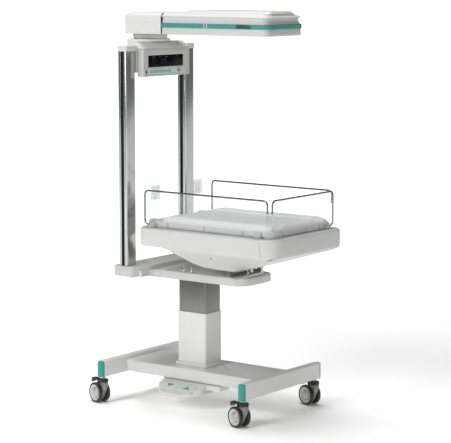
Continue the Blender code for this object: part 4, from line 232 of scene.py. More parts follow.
def merged(name):
    """A mesh copied from a CAD node, its loose triangles joined and its flat faces whole."""
    mesh = bmesh.new()
    mesh.from_mesh(nodes[name].data)
    bmesh.ops.remove_doubles(mesh, verts=mesh.verts, dist=SAME_PLACE)
    bmesh.ops.dissolve_limit(
        mesh,
        angle_limit=FLAT_ANGLE,
        verts=mesh.verts,
        edges=mesh.edges,
        use_dissolve_boundaries=False,
    )
    return mesh


def bevelled(mesh, geom, width, segments, affect="EDGES"):
    bmesh.ops.bevel(
        mesh,
        geom=geom,
        offset=width,
        affect=affect,
        segments=segments,
        profile=0.5,
        material=-1,
        clamp_overlap=affect == "EDGES",
    )
    return mesh


def eased(mesh, width, segments=2, sharp=SHARP_ANGLE):
    """Rounds every edge of a mesh that is sharper than an angle."""
    edges = [edge for edge in mesh.edges if edge.calc_face_angle(0) > sharp]
    return bevelled(mesh, edges, width, segments)


def show(name, mesh, body, finishes, replaced=(), smooth=SHARP_ANGLE):
    """A finished piece: its mesh and finishes, the body it rides on, the nodes it stands for."""
    piece = add_shape(name, mesh)
    for finish in finishes:
        piece.data.materials.append(finish.material)
    piece.data.shade_smooth()
    piece.data.set_sharp_from_angle(angle=smooth)
    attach(piece, body)
    if replaced:
        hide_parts(*replaced)


def repaint(name, finish):
    """A CAD node that stays as it is takes a better finish."""
    nodes[name].data.materials[0] = finish.material


def powder_coat(name, paint, dusty=False):
    """Powder coat: a fine orange peel, and gloss that varies a little from patch to patch."""
    finish = Finish(name, "white_paint", Specular_IOR_Level=0.45)
    patches = finish.noise(7.0)
    worn = [channel * 0.955 for channel in paint[:3]]
    tone = finish.mix(patches, paint, colour(*worn))
    if dusty:
        height = finish.node("SeparateXYZ", {}, {0: finish.place()}, "Z")
        dust = finish.node(
            "MapRange", {}, {"Value": height, "From Min": 0.30, "From Max": 0.10, "To Max": 0.14}
        )
        tone = finish.mix(dust * finish.noise(23.0, 4.0), tone, colour(0.42, 0.40, 0.36))
    finish.feed(Base_Color=tone, Roughness=0.30 + 0.10 * finish.noise(19.0))
    finish.bump(finish.noise(620.0), 0.00006)
    return finish


def toned(name, slot, first, second, patches, gloss=(), alpha=(), **constants):
    """A finish whose colour wanders between two, in patches of a noise's scale and detail.

    gloss and alpha are a least value, how far it rises, and the scale that it rises in."""
    finish = Finish(name, slot, **constants)
    tone = finish.mix(finish.noise(*patches), colour(*first), colour(*second))
    finish.feed(Base_Color=tone)
    for socket_name, rise in (("Roughness", gloss), ("Alpha", alpha)):
        if rise:
            least, spread, scale = rise
            finish.feed(**{socket_name: least + spread * finish.noise(scale)})
    return finish


def dress(name, node, body, finish, width, segments=2):
    """A piece that is its CAD node, with its edges eased and a finish."""
    show(name, eased(merged(node), width, segments), body, [finish], [node])


base_coat = powder_coat("base_powder_coat", colour(0.80, 0.80, 0.785), dusty=True)
dress("deck_pressing", "base_deck", "base", base_coat, 0.0008)
for end in ("front", "rear"):
    dress(f"{end}_rail_tube", f"{end}_rail", "base", base_coat, 0.0006)

teal_rubber = toned(
    "teal_rubber", "teal_plastic", (0.045, 0.335, 0.275), (0.06, 0.38, 0.315),
    patches=(30.0,), gloss=(0.42, 0.1, 60.0), Specular_IOR_Level=0.35,
)
teal_rubber.bump(teal_rubber.noise(900.0), 0.00005)
for end in ("front", "rear"):
    for side in ("left", "right"):
        dress(f"{end}_bumper_{side}", f"{end}_rail_cap_{side}", "base", teal_rubber, 0.0007)


# Twin-wheel castors: four swivel forks of grey moulded nylon, each with a black swivel
# head, two wheels with a soft black tyre on a dished white rim, a silver hub cap, and a
# black foot brake. The stem of each fork is pushed up into the rail end.
CASTOR_X = 0.290
CASTOR_Y = 0.430
BASE_MIDDLE_Y = 0.038
CASTOR_TURN = math.radians(-15.0)
WHEEL_STEPS = 72
WHEEL_INNER_FACE = 0.0128
AXLE_Y = 0.037
AXLE_Z = sum(corner.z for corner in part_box("castor_wheel_outer_front_left")) / 2
TYRE_INNER_RADIUS = 0.0398
RIM_INNER_RADIUS = 0.0275
# Radius and distance outwards from the wheel's inner face
WHEEL_PROFILE = (
    (0.0000, 0.0130), (0.0056, 0.0130), (0.0056, 0.0000), (0.0440, 0.0000), (0.0472, 0.0006),
    (0.0492, 0.0024), (0.0500, 0.0056), (0.0500, 0.0130), (0.0494, 0.0160), (0.0478, 0.0182),
    (0.0452, 0.0193), (0.0414, 0.0194), (0.0402, 0.0190), (0.0398, 0.0180), (0.0392, 0.0180),
    (0.0388, 0.0190), (0.0378, 0.0192), (0.0368, 0.0184), (0.0288, 0.0124), (0.0275, 0.0120),
    (0.0268, 0.0104), (0.0256, 0.0104), (0.0252, 0.0136), (0.0234, 0.0166), (0.0196, 0.0190),
    (0.0140, 0.0206), (0.0072, 0.0213), (0.0000, 0.0215),
)

tyre_black = Finish("tyre_black", "tyre_rubber", Specular_IOR_Level=0.55)
scuffs = tyre_black.noise(150.0, 5.0)
tyre_tone = tyre_black.mix(scuffs, colour(0.008, 0.008, 0.008), colour(0.030, 0.030, 0.029))
tyre_black.feed(Base_Color=tyre_tone, Roughness=0.30 + 0.22 * scuffs)
tyre_black.bump(scuffs, 0.0001, 0.5)

rim_white = toned(
    "rim_white", "castor_grey", (0.74, 0.74, 0.73), (0.62, 0.61, 0.59),
    patches=(90.0, 4.0), gloss=(0.28, 0.15, 70.0),
)

hub_silver = toned(
    "hub_silver", "castor_grey", (0.60, 0.60, 0.59), (0.48, 0.48, 0.47),
    patches=(120.0, 3.0), gloss=(0.30, 0.12, 200.0), Metallic=0.55,
)

castor_nylon = toned(
    "castor_nylon", "castor_grey", (0.30, 0.30, 0.29), (0.24, 0.24, 0.235),
    patches=(60.0, 3.0), gloss=(0.34, 0.12, 140.0),
)
castor_nylon.bump(castor_nylon.noise(1200.0), 0.00004)

black_nylon = toned(
    "black_nylon", "black_plastic", (0.010, 0.010, 0.010), (0.022, 0.022, 0.022),
    patches=(80.0, 3.0), gloss=(0.36, 0.14, 160.0),
)
black_nylon.bump(black_nylon.noise(1100.0), 0.00005)

stem_steel = toned(
    "stem_steel", "steel", (0.42, 0.42, 0.42), (0.30, 0.30, 0.30),
    patches=(90.0, 3.0), gloss=(0.26, 0.15, 240.0), Metallic=1.0,
)


def spun(profile, steps, axis, centre=(0, 0, 0), angle=math.tau):
    """A mesh turned from pairs of a radius and a distance along an axis, X or Z."""
    mesh = bmesh.new()
    along = Vector((1, 0, 0)) if axis == "X" else Vector((0, 0, 1))
    across = Vector((0, 0, 1)) if axis == "X" else Vector((1, 0, 0))
    centre = Vector(centre)
    points = [mesh.verts.new(centre + across * radius + along * far) for radius, far in profile]
    edges = [mesh.edges.new(pair) for pair in zip(points, points[1:])]
    full = angle == math.tau
    bmesh.ops.spin(
        mesh, geom=points + edges, cent=centre, axis=along, angle=angle, steps=steps, use_merge=full
    )
    bmesh.ops.remove_doubles(mesh, verts=mesh.verts, dist=SAME_PLACE)
    bmesh.ops.recalc_face_normals(mesh, faces=mesh.faces)
    return mesh


def plate(outline, low, high, axis="Z"):
    """A flat outline of a few points, given a thickness along an axis."""
    mesh = bmesh.new()
    number = "XYZ".index(axis)
    corners = [(*point[:number], low, *point[number:]) for point in outline]
    rise = [0, 0, 0]
    rise[number] = high - low
    floor_face = mesh.faces.new([mesh.verts.new(corner) for corner in corners])
    grown = bmesh.ops.extrude_face_region(mesh, geom=[floor_face])
    moved = [item for item in grown["geom"] if isinstance(item, bmesh.types.BMVert)]
    bmesh.ops.translate(mesh, vec=rise, verts=moved)
    bmesh.ops.recalc_face_normals(mesh, faces=mesh.faces)
    return mesh


def soften_corners(mesh, radius, axis):
    """Rounds the corners of a plate: its edges that run along the axis."""
    number = "XYZ".index(axis)
    edges = []
    for edge in mesh.edges:
        way = edge.verts[1].co - edge.verts[0].co
        if abs(way[number]) > 0.999 * way.length:
            edges.append(edge)
    bevelled(mesh, edges, radius, 3)


def add_mesh(target, source, finish=None, move=(0, 0, 0)):
    """Puts one mesh into another as a further shell, with its own finish."""
    if finish is not None:
        for face in source.faces:
            face.material_index = finish
    bmesh.ops.translate(source, vec=move, verts=source.verts)
    spare = bpy.data.meshes.new("spare")
    source.to_mesh(spare)
    source.free()
    target.from_mesh(spare)
    bpy.data.meshes.remove(spare)


def turned_about(mesh, matrix):
    bmesh.ops.transform(mesh, matrix=matrix, verts=mesh.verts)
    return mesh


def castor_wheel(side):
    """One wheel; side is -1 for the outer and 1 for the inner."""
    profile = [(radius, side * (WHEEL_INNER_FACE + far)) for radius, far in WHEEL_PROFILE]
    wheel = spun(profile, WHEEL_STEPS, "X")
    for face in wheel.faces:
        middle = face.calc_center_median()
        radius = math.hypot(middle.y, middle.z)
        outward = abs(middle.x) - WHEEL_INNER_FACE
        if radius < TYRE_INNER_RADIUS and outward > 0.005:
            face.material_index = 1 if radius > RIM_INNER_RADIUS - 0.0006 else 2
    bmesh.ops.translate(wheel, vec=(0, AXLE_Y, AXLE_Z), verts=wheel.verts)
    return wheel


def castor_fork():
    """The web between the wheels, the swivel head, the stem, the axle and the brake's tongue."""
    fork_half = 0.0122
    hub_radius = 0.034
    outline = [(0.020, 0.107), (-0.017, 0.107), (-0.021, 0.103), (-0.021, 0.090)]
    for degrees in range(-158, 41, 9):
        angle = math.radians(degrees)
        across, up = hub_radius * math.cos(angle), hub_radius * math.sin(angle)
        outline.append((AXLE_Y + across, AXLE_Z + up))
    outline.append((0.024, 0.086))
    fork = plate(outline, -fork_half, fork_half, "X")
    eased(fork, 0.0034, 4, math.radians(60.0))
    rib_half = 0.0012
    rib_outline = [(-0.0222, 0.101), (-0.0222, 0.0885), (0.0036, 0.048), (0.008, 0.055)]
    rib_outline.append((-0.012, 0.101))
    for x in (-0.0052, 0.0052):
        rib = plate(rib_outline, x - rib_half, x + rib_half, "X")
        add_mesh(fork, eased(rib, 0.0006), 0)
    head = spun(
        [
            (0, 0.1040), (0.0190, 0.1040), (0.0215, 0.1064), (0.0225, 0.1090), (0.0225, 0.1165),
            (0.0218, 0.1192), (0.0195, 0.1210), (0.0120, 0.1214), (0, 0.1214),
        ],
        48,
        "Z",
    )
    add_mesh(fork, head, 1)
    stem = spun([(0, 0.1200), (0.0080, 0.1200), (0.0080, 0.1345), (0, 0.1345)], 24, "Z")
    add_mesh(fork, stem, 2)
    axle = spun([(0, -0.0256), (0.005, -0.0256), (0.005, 0.0256), (0, 0.0256)], 24, "X")
    add_mesh(fork, axle, 2, (0, AXLE_Y, AXLE_Z))
    tongue_outline = [(0.014, 0.078), (0.034, 0.080), (0.034, 0.1035), (0.014, 0.1035)]
    tongue = plate(tongue_outline, -0.0055, 0.0055, "X")
    add_mesh(fork, eased(tongue, 0.0012), 0)
    pin = spun([(0, -0.0118), (0.0025, -0.0118), (0.0025, 0.0118), (0, 0.0118)], 16, "X")
    add_mesh(fork, pin, 2, (0, 0.0305, 0.0985))
    return fork


def castor_brake():
    """The foot tab over the wheels' trailing side, with a ribbed tread and a turned-down tail."""
    half = 0.0122
    outline = [
        (0.0372, 0.0925), (0.0420, 0.1085), (0.0700, 0.1075), (0.0830, 0.0955),
        (0.0905, 0.0925), (0.0920, 0.1060), (0.0860, 0.1165), (0.0420, 0.1165),
        (0.0247, 0.1045),
    ]
    brake = plate(outline, -half, half, "X")
    eased(brake, 0.0016, 3, math.radians(25.0))
    rib_length, rib_foot, rib_top, rib_margin = 0.0030, 0.1160, 0.1172, 0.002
    for number in range(6):
        y = 0.0465 + number * 0.0062
        end = y + rib_length
        rib_outline = [(y, rib_foot), (end, rib_foot), (end, rib_top), (y, rib_top)]
        rib = plate(rib_outline, rib_margin - half, half - rib_margin, "X")
        add_mesh(brake, eased(rib, 0.0004), 0)
    return brake


for end, y in (("front", -CASTOR_Y), ("rear", CASTOR_Y)):
    for side, x in (("left", -CASTOR_X), ("right", CASTOR_X)):
        corner = f"{end}_{side}"
        stand = Matrix.Translation((x, y + BASE_MIDDLE_Y, 0)) @ Matrix.Rotation(CASTOR_TURN, 4, "Z")
        fork = turned_about(castor_fork(), stand)
        fork_finishes = [castor_nylon, black_nylon, stem_steel]
        fork_node = f"castor_fork_{corner}"
        show(f"castor_{corner}_fork", fork, f"castor_{corner}", fork_finishes, [fork_node])
        brake = turned_about(castor_brake(), stand)
        tab_name, brake_node = f"castor_{corner}_brake_tab", f"castor_brake_{corner}"
        show(tab_name, brake, f"brake_{corner}", [black_nylon], [brake_node])
        for word, way in (("outer", -1), ("inner", 1)):
            wheel = turned_about(castor_wheel(way), stand)
            body, wheel_node = f"wheel_{word}_{corner}", f"castor_wheel_{word}_{corner}"
            wheel_finishes = [tyre_black, rim_white, hub_silver]
            show(f"castor_{corner}_{word}_wheel", wheel, body, wheel_finishes, [wheel_node])


# The foot switch: a half-round white moulding screwed under the deck's edge, with two pads
# on its sloping face. The far pad lowers the bed and the near one raises it, and each has
# a teal arrow moulded in.
shell_white = colour(0.81, 0.81, 0.80)


def moulded(name, paint, gloss=0.34, grain=0.00004):
    """Injection moulded plastic: a fine spark texture and a soft shine."""
    finish = Finish(name)
    patches = finish.noise(5.0)
    darker = [channel * 0.965 for channel in paint[:3]]
    finish.feed(Base_Color=finish.mix(patches, paint, colour(*darker)))
    finish.feed(Roughness=gloss + 0.08 * finish.noise(26.0))
    finish.bump(finish.noise(1500.0), grain)
    return finish


switch_plastic = moulded("switch_plastic", shell_white)
pad_plastic = moulded("pad_plastic", colour(0.80, 0.815, 0.80), 0.40)
arrow_teal = moulded("arrow_teal", colour(0.10, 0.42, 0.36), 0.42)
dress("foot_switch_shell", "pedal_housing", "base", switch_plastic, 0.0009)
PAD_SLOPE = math.radians(20.5)
PAD_HALF_THICK = 0.0033
pads = (("pedal_down_key", "pedal_down", -1, "down_pad"), ("pedal_up_key", "pedal_up", 1, "up_pad"))
for node_name, body, way, piece_name in pads:
    low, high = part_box(node_name)
    middle = (low + high) / 2
    pad = eased(merged(node_name), 0.0005, 1)
    arrow = plate([(0.014, -0.020), (0.014, 0.020), (-0.012, 0.0)], 0.0, 0.0008)
    soften_corners(arrow, 0.003, "Z")
    if way > 0:
        turned_about(arrow, Matrix.Rotation(math.pi, 4, "Z"))
    lean = Matrix.Translation(middle) @ Matrix.Rotation(-PAD_SLOPE, 4, "Y")
    onto_pad = lean @ Matrix.Translation((0, 0, PAD_HALF_THICK))
    add_mesh(pad, turned_about(arrow, onto_pad), 1)
    show(piece_name, pad, body, [pad_plastic, arrow_teal], [node_name])


# The lifting column: a white steel tube welded to the deck with a moulded collar round its
# foot, and a dark satin tube that slides in it and carries the arm. A spindle drive stands
# inside both.
collar_plastic = moulded("collar_plastic", colour(0.80, 0.80, 0.79))
dress("column_collar_ring", "column_collar", "base", collar_plastic, 0.0005)

column_paint = powder_coat("column_paint", colour(0.84, 0.84, 0.83))
column_paint.feed(Roughness=0.24 + 0.05 * column_paint.noise(9.0))
dress("lower_column_tube", "lower_column", "base", column_paint, 0.0009, 3)


def brushed(name, slot, first, second, grain, detail, gloss, metallic):
    """A drawn or ground metal and its streaks, so fine along each axis as its grain says."""
    finish = Finish(name, slot, Metallic=metallic)
    stretched = finish.node("Mapping", {}, {"Vector": finish.place(), "Scale": grain})
    streaks = finish.node("TexNoise", {}, {"Vector": stretched, "Scale": 1.0, "Detail": detail})
    tone = finish.mix(streaks, colour(*first), colour(*second))
    finish.feed(Base_Color=tone, Roughness=gloss[0] + gloss[1] * streaks)
    return finish, streaks


column_satin, streaks = brushed(
    "column_satin", "dark_column", (0.215, 0.218, 0.210), (0.290, 0.292, 0.285),
    grain=(260.0, 260.0, 3.0), detail=3.0, gloss=(0.26, 0.08), metallic=0.85,
)
column_satin.bump(streaks, 0.00004, 0.6)
dress("upper_column_tube", "upper_column", "lift", column_satin, 0.0006)

drive_steel = toned(
    "drive_steel", "steel", (0.45, 0.45, 0.44), (0.33, 0.33, 0.32),
    patches=(40.0, 4.0), gloss=(0.34, 0.12, 180.0), Metallic=1.0,
)
repaint("lift_actuator", drive_steel)
spindle_chrome = Finish("spindle_chrome", "chrome", Metallic=1.0)
spindle_chrome.feed(Base_Color=colour(0.72, 0.73, 0.74))
spindle_chrome.feed(Roughness=0.08 + 0.05 * spindle_chrome.noise(300.0))
repaint("lift_rod", spindle_chrome)


# The support arm: one aluminium casting under the bed and across the feet of the mast, powder
# coated white. Four studs with tall nuts clamp it to the top of the column, and a levelling
# bolt, part of the casting's node, hangs under each end of its foot.
arm_coat = powder_coat("arm_powder_coat", colour(0.63, 0.635, 0.62))
dress("arm_casting", "support_arm", "lift", arm_coat, 0.0007)

bolt_steel = toned(
    "bolt_steel", "steel", (0.66, 0.66, 0.65), (0.50, 0.50, 0.49),
    patches=(90.0, 3.0), gloss=(0.20, 0.12, 260.0), Metallic=1.0,
)
ARM_TOP_Z = 0.668
CLAMP_PLACES = ((-0.124, 0.056), (-0.124, 0.010), (0.124, 0.056), (0.124, 0.010))


def settled(mesh):
    """Moves a shape from the base's coordinates, whose middle is y = 0, to the frame's."""
    bmesh.ops.translate(mesh, vec=(0, BASE_MIDDLE_Y, 0), verts=mesh.verts)
    return mesh


def screw_head(radius, height, washer=1.5):
    """A washer and a six-sided nut or screw head, standing on z = 0."""
    rim, top = radius * washer, radius * 0.22
    head = spun([(0, 0), (rim, 0), (rim, top), (0, top)], 24, "Z")
    nut = bmesh.new()
    bmesh.ops.create_cone(
        nut, cap_ends=True, segments=6, radius1=radius, radius2=radius, depth=height
    )
    bmesh.ops.translate(nut, vec=(0, 0, height / 2 + radius * 0.2), verts=nut.verts)
    add_mesh(head, eased(nut, radius * 0.08))
    return head


clamps = bmesh.new()
SHANK_PROFILE = ((0, 0.010), (0.0048, 0.010), (0.0048, 0.027), (0.0040, 0.029), (0, 0.029))
for x, y in CLAMP_PLACES:
    stud = screw_head(0.0075, 0.014)
    shank = spun(SHANK_PROFILE, 20, "Z")
    add_mesh(stud, shank)
    add_mesh(clamps, stud, 0, (x, y, ARM_TOP_Z))
show("arm_clamp_studs", settled(clamps), "lift", [bolt_steel])


# The mast: two aluminium extrusions with a slot in each side, standing on the arm's foot. A
# black rubber strip is pressed into each slot, and a moulded cover ties the posts at the top.
POST_MIDDLE_Y = 0.321
POST_FACES = (0.1945, 0.264)
POST_FOOT_Z = 0.6908
POST_HEAD_Z = 1.7293

post_metal = brushed(
    "post_metal", "bright_aluminium", (0.56, 0.575, 0.565), (0.47, 0.485, 0.475),
    grain=(150.0, 150.0, 0.9), detail=4.0, gloss=(0.13, 0.09), metallic=1.0,
)[0]
for side in ("left", "right"):
    dress(f"post_extrusion_{side}", f"post_{side}", "lift", post_metal, 0.0007, 3)

# The black rubber of the posts' slot strips. It also colours the head's joint strip, where it is
# painted shade.
slot_rubber_and_joint_shade = toned(
    "slot_rubber_and_joint_shade", "black_plastic", (0.006, 0.006, 0.006), (0.014, 0.014, 0.014),
    patches=(60.0, 3.0), gloss=(0.55, 0.15, 200.0), Specular_IOR_Level=0.25,
)
# Places along a post's face and depths behind it
STRIP_OUTLINE = (
    (-0.0120, 0.0135), (0.0120, 0.0135), (0.0120, 0.0040), (0.0070, 0.0040),
    (0.0045, 0.0065), (-0.0045, 0.0065), (-0.0070, 0.0040), (-0.0120, 0.0040),
)
for side, way in (("left", -1), ("right", 1)):
    strips = bmesh.new()
    for face_x, inward in zip(POST_FACES, (1, -1)):
        section = []
        for along, deep in STRIP_OUTLINE:
            section.append((way * (face_x + inward * deep), POST_MIDDLE_Y + along))
        add_mesh(strips, plate(section, POST_FOOT_Z, POST_HEAD_Z))
    show(f"post_slot_strips_{side}", settled(strips), "lift", [slot_rubber_and_joint_shade])

cover_plastic = moulded("cover_plastic", colour(0.715, 0.72, 0.705), 0.40)
dress("mast_cover_moulding", "mast_cover", "lift", cover_plastic, 0.0010)


# The control unit: a shallow white case under the hood. A black window covers the unlit
# numerals, and below it a film keypad has teal keys, a probe socket, a knob and a corner mark.
# The keys are a membrane, so they don't travel, and the knob is fixed.
CASE_FRONT_Y = 0.2563
GLASS_FRONT_Y = 0.2561
KEYPAD_MIDDLE_Z = 1.6288
KEY_HALF = 0.0062
KEY_FRONT_Y = 0.2548
KEY_BACK_Y = 0.2560
KEY_FIRST_X = -0.122
KEY_PITCH = 0.0182
KEYS = 9
KNOB_X = 0.090
SOCKET_X = -0.1565

case_plastic = moulded("case_plastic", colour(0.60, 0.605, 0.59))
dress("display_case_moulding", "display_case", "lift", case_plastic, 0.0006)

window_glass = toned(
    "window_glass", "black_glass", (0.003, 0.003, 0.004), (0.007, 0.007, 0.008),
    patches=(25.0,), gloss=(0.07, 0.05, 80.0), Specular_IOR_Level=0.06,
)
dress("display_glass", "display_window", "lift", window_glass, 0.0005)

numeral_grey = toned(
    "numeral_grey", "black_glass", (0.022, 0.021, 0.020), (0.034, 0.032, 0.030),
    patches=(50.0,), Roughness=0.5,
)
legend_pale = toned(
    "legend_pale", "keypad_film", (0.20, 0.20, 0.20), (0.13, 0.13, 0.13),
    patches=(50.0,), Roughness=0.5,
)
# A figure's seven bars: place across and up, and half width and height, as shares of its own
NUMERAL_BARS = (
    (0.0, 1.0, 0.5, 0.10), (0.0, 0.0, 0.5, 0.10), (0.0, -1.0, 0.5, 0.10),
    (-0.55, 0.5, 0.08, 0.36), (0.55, 0.5, 0.08, 0.36), (-0.55, -0.5, 0.08, 0.36),
    (0.55, -0.5, 0.08, 0.36),
)
numerals = bmesh.new()


def box_corners(west, south, east, north):
    return [(west, south), (east, south), (east, north), (west, north)]


def bar(x, z, half_x, half_z, low=GLASS_FRONT_Y, high=CASE_FRONT_Y + 0.0005):
    """A thin flat mark on the front of the control unit."""
    return plate(box_corners(x - half_x, z - half_z, x + half_x, z + half_z), low, high, "Y")


NUMERAL_SLIMNESS = 0.62
NUMERAL_REACH = 0.9
# Where the figures of each row stand, the row's height, and half of a figure's height
NUMERAL_ROWS = (
    ((-0.108, -0.092), 1.682, 0.0095),
    ((-0.040, -0.024, -0.008), 1.680, 0.0115),
    ((0.062, 0.078, 0.094), 1.682, 0.0095),
    ((-0.100, -0.086), 1.661, 0.0055),
    ((0.070, 0.084), 1.661, 0.0055),
)
for places, z, half_height in NUMERAL_ROWS:
    width = half_height * NUMERAL_SLIMNESS
    for x in places:
        for across, up, half_x, half_z in NUMERAL_BARS:
            bar_x, bar_z = x + across * width, z + up * half_height * NUMERAL_REACH
            add_mesh(numerals, bar(bar_x, bar_z, half_x * width, half_z * half_height), 0)
LEGEND_BARS = (
    (-0.100, 1.699, 0.009), (-0.052, 1.6995, 0.006), (-0.002, 1.698, 0.007), (0.080, 1.6985, 0.005),
)
for x, z, half_x in LEGEND_BARS:
    add_mesh(numerals, bar(x, z, half_x, 0.0012), 1)
show("display_numerals", settled(numerals), "lift", [numeral_grey, legend_pale])

keypad_film = toned(
    "keypad_film", "keypad_film", (0.66, 0.78, 0.735), (0.62, 0.74, 0.70),
    patches=(30.0,), gloss=(0.40, 0.08, 120.0), Specular_IOR_Level=0.45,
)
dress("keypad_membrane", "keypad", "lift", keypad_film, 0.0003, 1)

key_teal = moulded("key_teal", colour(0.16, 0.42, 0.37), 0.42)
knob_grey = moulded("knob_grey", colour(0.30, 0.31, 0.31), 0.38)
keys = bmesh.new()
for number in range(KEYS):
    x = KEY_FIRST_X + number * KEY_PITCH
    key = bar(x, KEYPAD_MIDDLE_Z, KEY_HALF, KEY_HALF, KEY_FRONT_Y, KEY_BACK_Y)
    soften_corners(key, 0.0018, "Y")
    add_mesh(keys, eased(key, 0.0002, 1), 0)
    glyph = plate([(-0.0034, -0.0026), (0.0034, -0.0026), (0.0, 0.0034)], -0.0002, 0.0, "Y")
    turned_about(glyph, Matrix.Rotation((number % 3) * math.pi / 2, 4, "Y"))
    add_mesh(keys, glyph, 1, (x, KEY_FRONT_Y, KEYPAD_MIDDLE_Z))
show("keypad_keys", settled(keys), "lift", [key_teal, case_plastic])

details = bmesh.new()
KNOB_PROFILE = (
    (0, 0), (0.0085, 0), (0.0085, 0.0045), (0.0078, 0.0058), (0.0060, 0.0064), (0, 0.0064),
)
SOCKET_PROFILE = (
    (0, 0), (0.0052, 0), (0.0052, 0.0016), (0.0044, 0.0020),
    (0.0034, 0.0016), (0.0030, 0.0006), (0, 0.0006),
)
face_front = Matrix.Rotation(math.pi / 2, 4, "X")
knob = turned_about(spun(KNOB_PROFILE, 32, "Z"), face_front)
add_mesh(details, knob, 0, (KNOB_X, CASE_FRONT_Y, KEYPAD_MIDDLE_Z))
socket_ring = spun(SOCKET_PROFILE, 28, "Z")
bmesh.ops.scale(socket_ring, vec=(1.0, 1.5, 1.0), verts=socket_ring.verts)
turned_about(socket_ring, face_front)
add_mesh(details, socket_ring, 1, (SOCKET_X, CASE_FRONT_Y, KEYPAD_MIDDLE_Z))
for x, z, half_x, half_z in ((0.1585, 1.6240, 0.0012, 0.0085), (0.1620, 1.6160, 0.0045, 0.0012)):
    mark = bar(x, z, half_x, half_z, CASE_FRONT_Y - 0.0006, CASE_FRONT_Y + 0.001)
    add_mesh(details, mark, 0)
show("control_unit_details", settled(details), "lift", [knob_grey, black_nylon])


# The pivot base: a white saddle bolted over the mast's beam. The heater head turns on it.
saddle_plastic = moulded("saddle_plastic", shell_white)
dress("pivot_saddle", "pivot_base", "lift", saddle_plastic, 0.0010, 3)


# The heater head: a white hub on a turned drum, which swings on the mast, and two shells that
# are clipped together over a teal trim band. A black strip in the joint between the hub and the
# shells is painted shade for the dark gap there. The band has white dividers and a darker lens over
# the signal lamp.
HEAD_LOW_Z = 1.811
HUB_TOP_Z = 1.914
HUB_FRONT_Y = 0.1728
HUB_BACK_Y = 0.415
HUB_HALF = 0.151
HUB_CORNER = 0.040
HUB_ROUND = 0.026
HUB_FOOT_ROUND = 0.005
HUB_PARTING_Z = 1.8655
HUB_PARTING_DEPTH = 0.0009
SHELL_HALF = 0.150
SHELL_FRONT_Y = -0.455
SHELL_BACK_Y = 0.170
SHELL_CORNER = 0.035
RAISED_BOX = (-0.105, -0.4375, 0.105, 0.065)
RAISED_CORNER = 0.027
# Height and inset of the raised field's edge
RAISED_EDGE = (
    (1.9050, 0.000), (1.9150, 0.001), (1.9200, 0.005),
    (1.9240, 0.010), (1.9262, 0.015), (1.9270, 0.021),
)
BAND_LOW_Z = 1.844
BAND_HIGH_Z = 1.8655
BAND_EASE = 0.0025
ROUND_STEPS = 10
LENS_SPAN = (-0.362, -0.277)
LENS_MARGIN = 0.002
DIVIDER_PLACES = (-0.0885, -0.1040)
DIVIDER_HALF = 0.0016
DIVIDER_MARGIN = 0.0008


def flat_outline(corners, radius, chosen=None):
    """One flat face with its corners rounded; chosen picks the corners by their numbers."""
    mesh = bmesh.new()
    points = [mesh.verts.new((x, y, 0)) for x, y in corners]
    mesh.faces.new(points)
    picked = points if chosen is None else [points[number] for number in chosen]
    return bevelled(mesh, picked, radius, ROUND_STEPS, "VERTICES")


def grown_face(mesh, face):
    """The new face where one is extruded."""
    grown = bmesh.ops.extrude_face_region(mesh, geom=[face, *face.edges])
    return next(item for item in grown["geom"] if isinstance(item, bmesh.types.BMFace))


def stacked(mesh, levels):
    """Raises a closed form from a flat outline. A level is a height and the outline's box there.

    The height is a number, or a function of a place in the plan."""
    face = mesh.faces[:][0]
    for number, (height, west, south, east, north) in enumerate(levels):
        if number > 0:
            face = grown_face(mesh, face)
        across = [vert.co.x for vert in face.verts]
        along = [vert.co.y for vert in face.verts]
        wide, long = max(across) - min(across), max(along) - min(along)
        here = Vector(((max(across) + min(across)) / 2, (max(along) + min(along)) / 2, 0))
        there = Vector(((west + east) / 2, (south + north) / 2, 0))
        grow = Matrix.Diagonal(((east - west) / wide, (north - south) / long, 1, 1))
        fit = Matrix.Translation(there) @ grow @ Matrix.Translation(-here)
        bmesh.ops.transform(mesh, matrix=fit, verts=face.verts)
        for vert in face.verts:
            vert.co.z = height(vert.co.x, vert.co.y) if callable(height) else height
    bmesh.ops.recalc_face_normals(mesh, faces=mesh.faces)
    return mesh


def quarter(steps):
    """Shares from 0 to 1 of a quarter round: how far in and how far up, step by step."""
    for step in range(steps + 1):
        turn = math.pi / 2 * step / steps
        yield 1 - math.cos(turn), math.sin(turn)


def round_over(height, radius, steps, way=1):
    """Heights and insets of a rounded edge: over a top, or under a foot where way is -1."""
    edge = [(height - way * radius * (1 - up), radius * inward) for inward, up in quarter(steps)]
    return edge[::way]


def level(height, box, inset=0.0):
    """A level of a stacked form: its height, and its box drawn in by an inset."""
    west, south, east, north = box
    return (height, west + inset, south + inset, east - inset, north - inset)


hub_edge = round_over(HEAD_LOW_Z, HUB_FOOT_ROUND, 4, -1)
for rise, inset in ((-1.0, 0), (-0.4, HUB_PARTING_DEPTH), (0.4, HUB_PARTING_DEPTH), (1.0, 0)):
    hub_edge.append((HUB_PARTING_Z + rise * HUB_PARTING_DEPTH, inset))
hub_levels = []
for height, inset in hub_edge + round_over(HUB_TOP_Z, HUB_ROUND, 12):
    side = HUB_HALF - inset
    hub_levels.append((height, -side, HUB_FRONT_Y, side, HUB_BACK_Y - inset))
hub_corners = box_corners(-HUB_HALF, HUB_FRONT_Y, HUB_HALF, HUB_BACK_Y)
hub = stacked(flat_outline(hub_corners, HUB_CORNER, (2, 3)), hub_levels)
DRUM_Y = 0.360
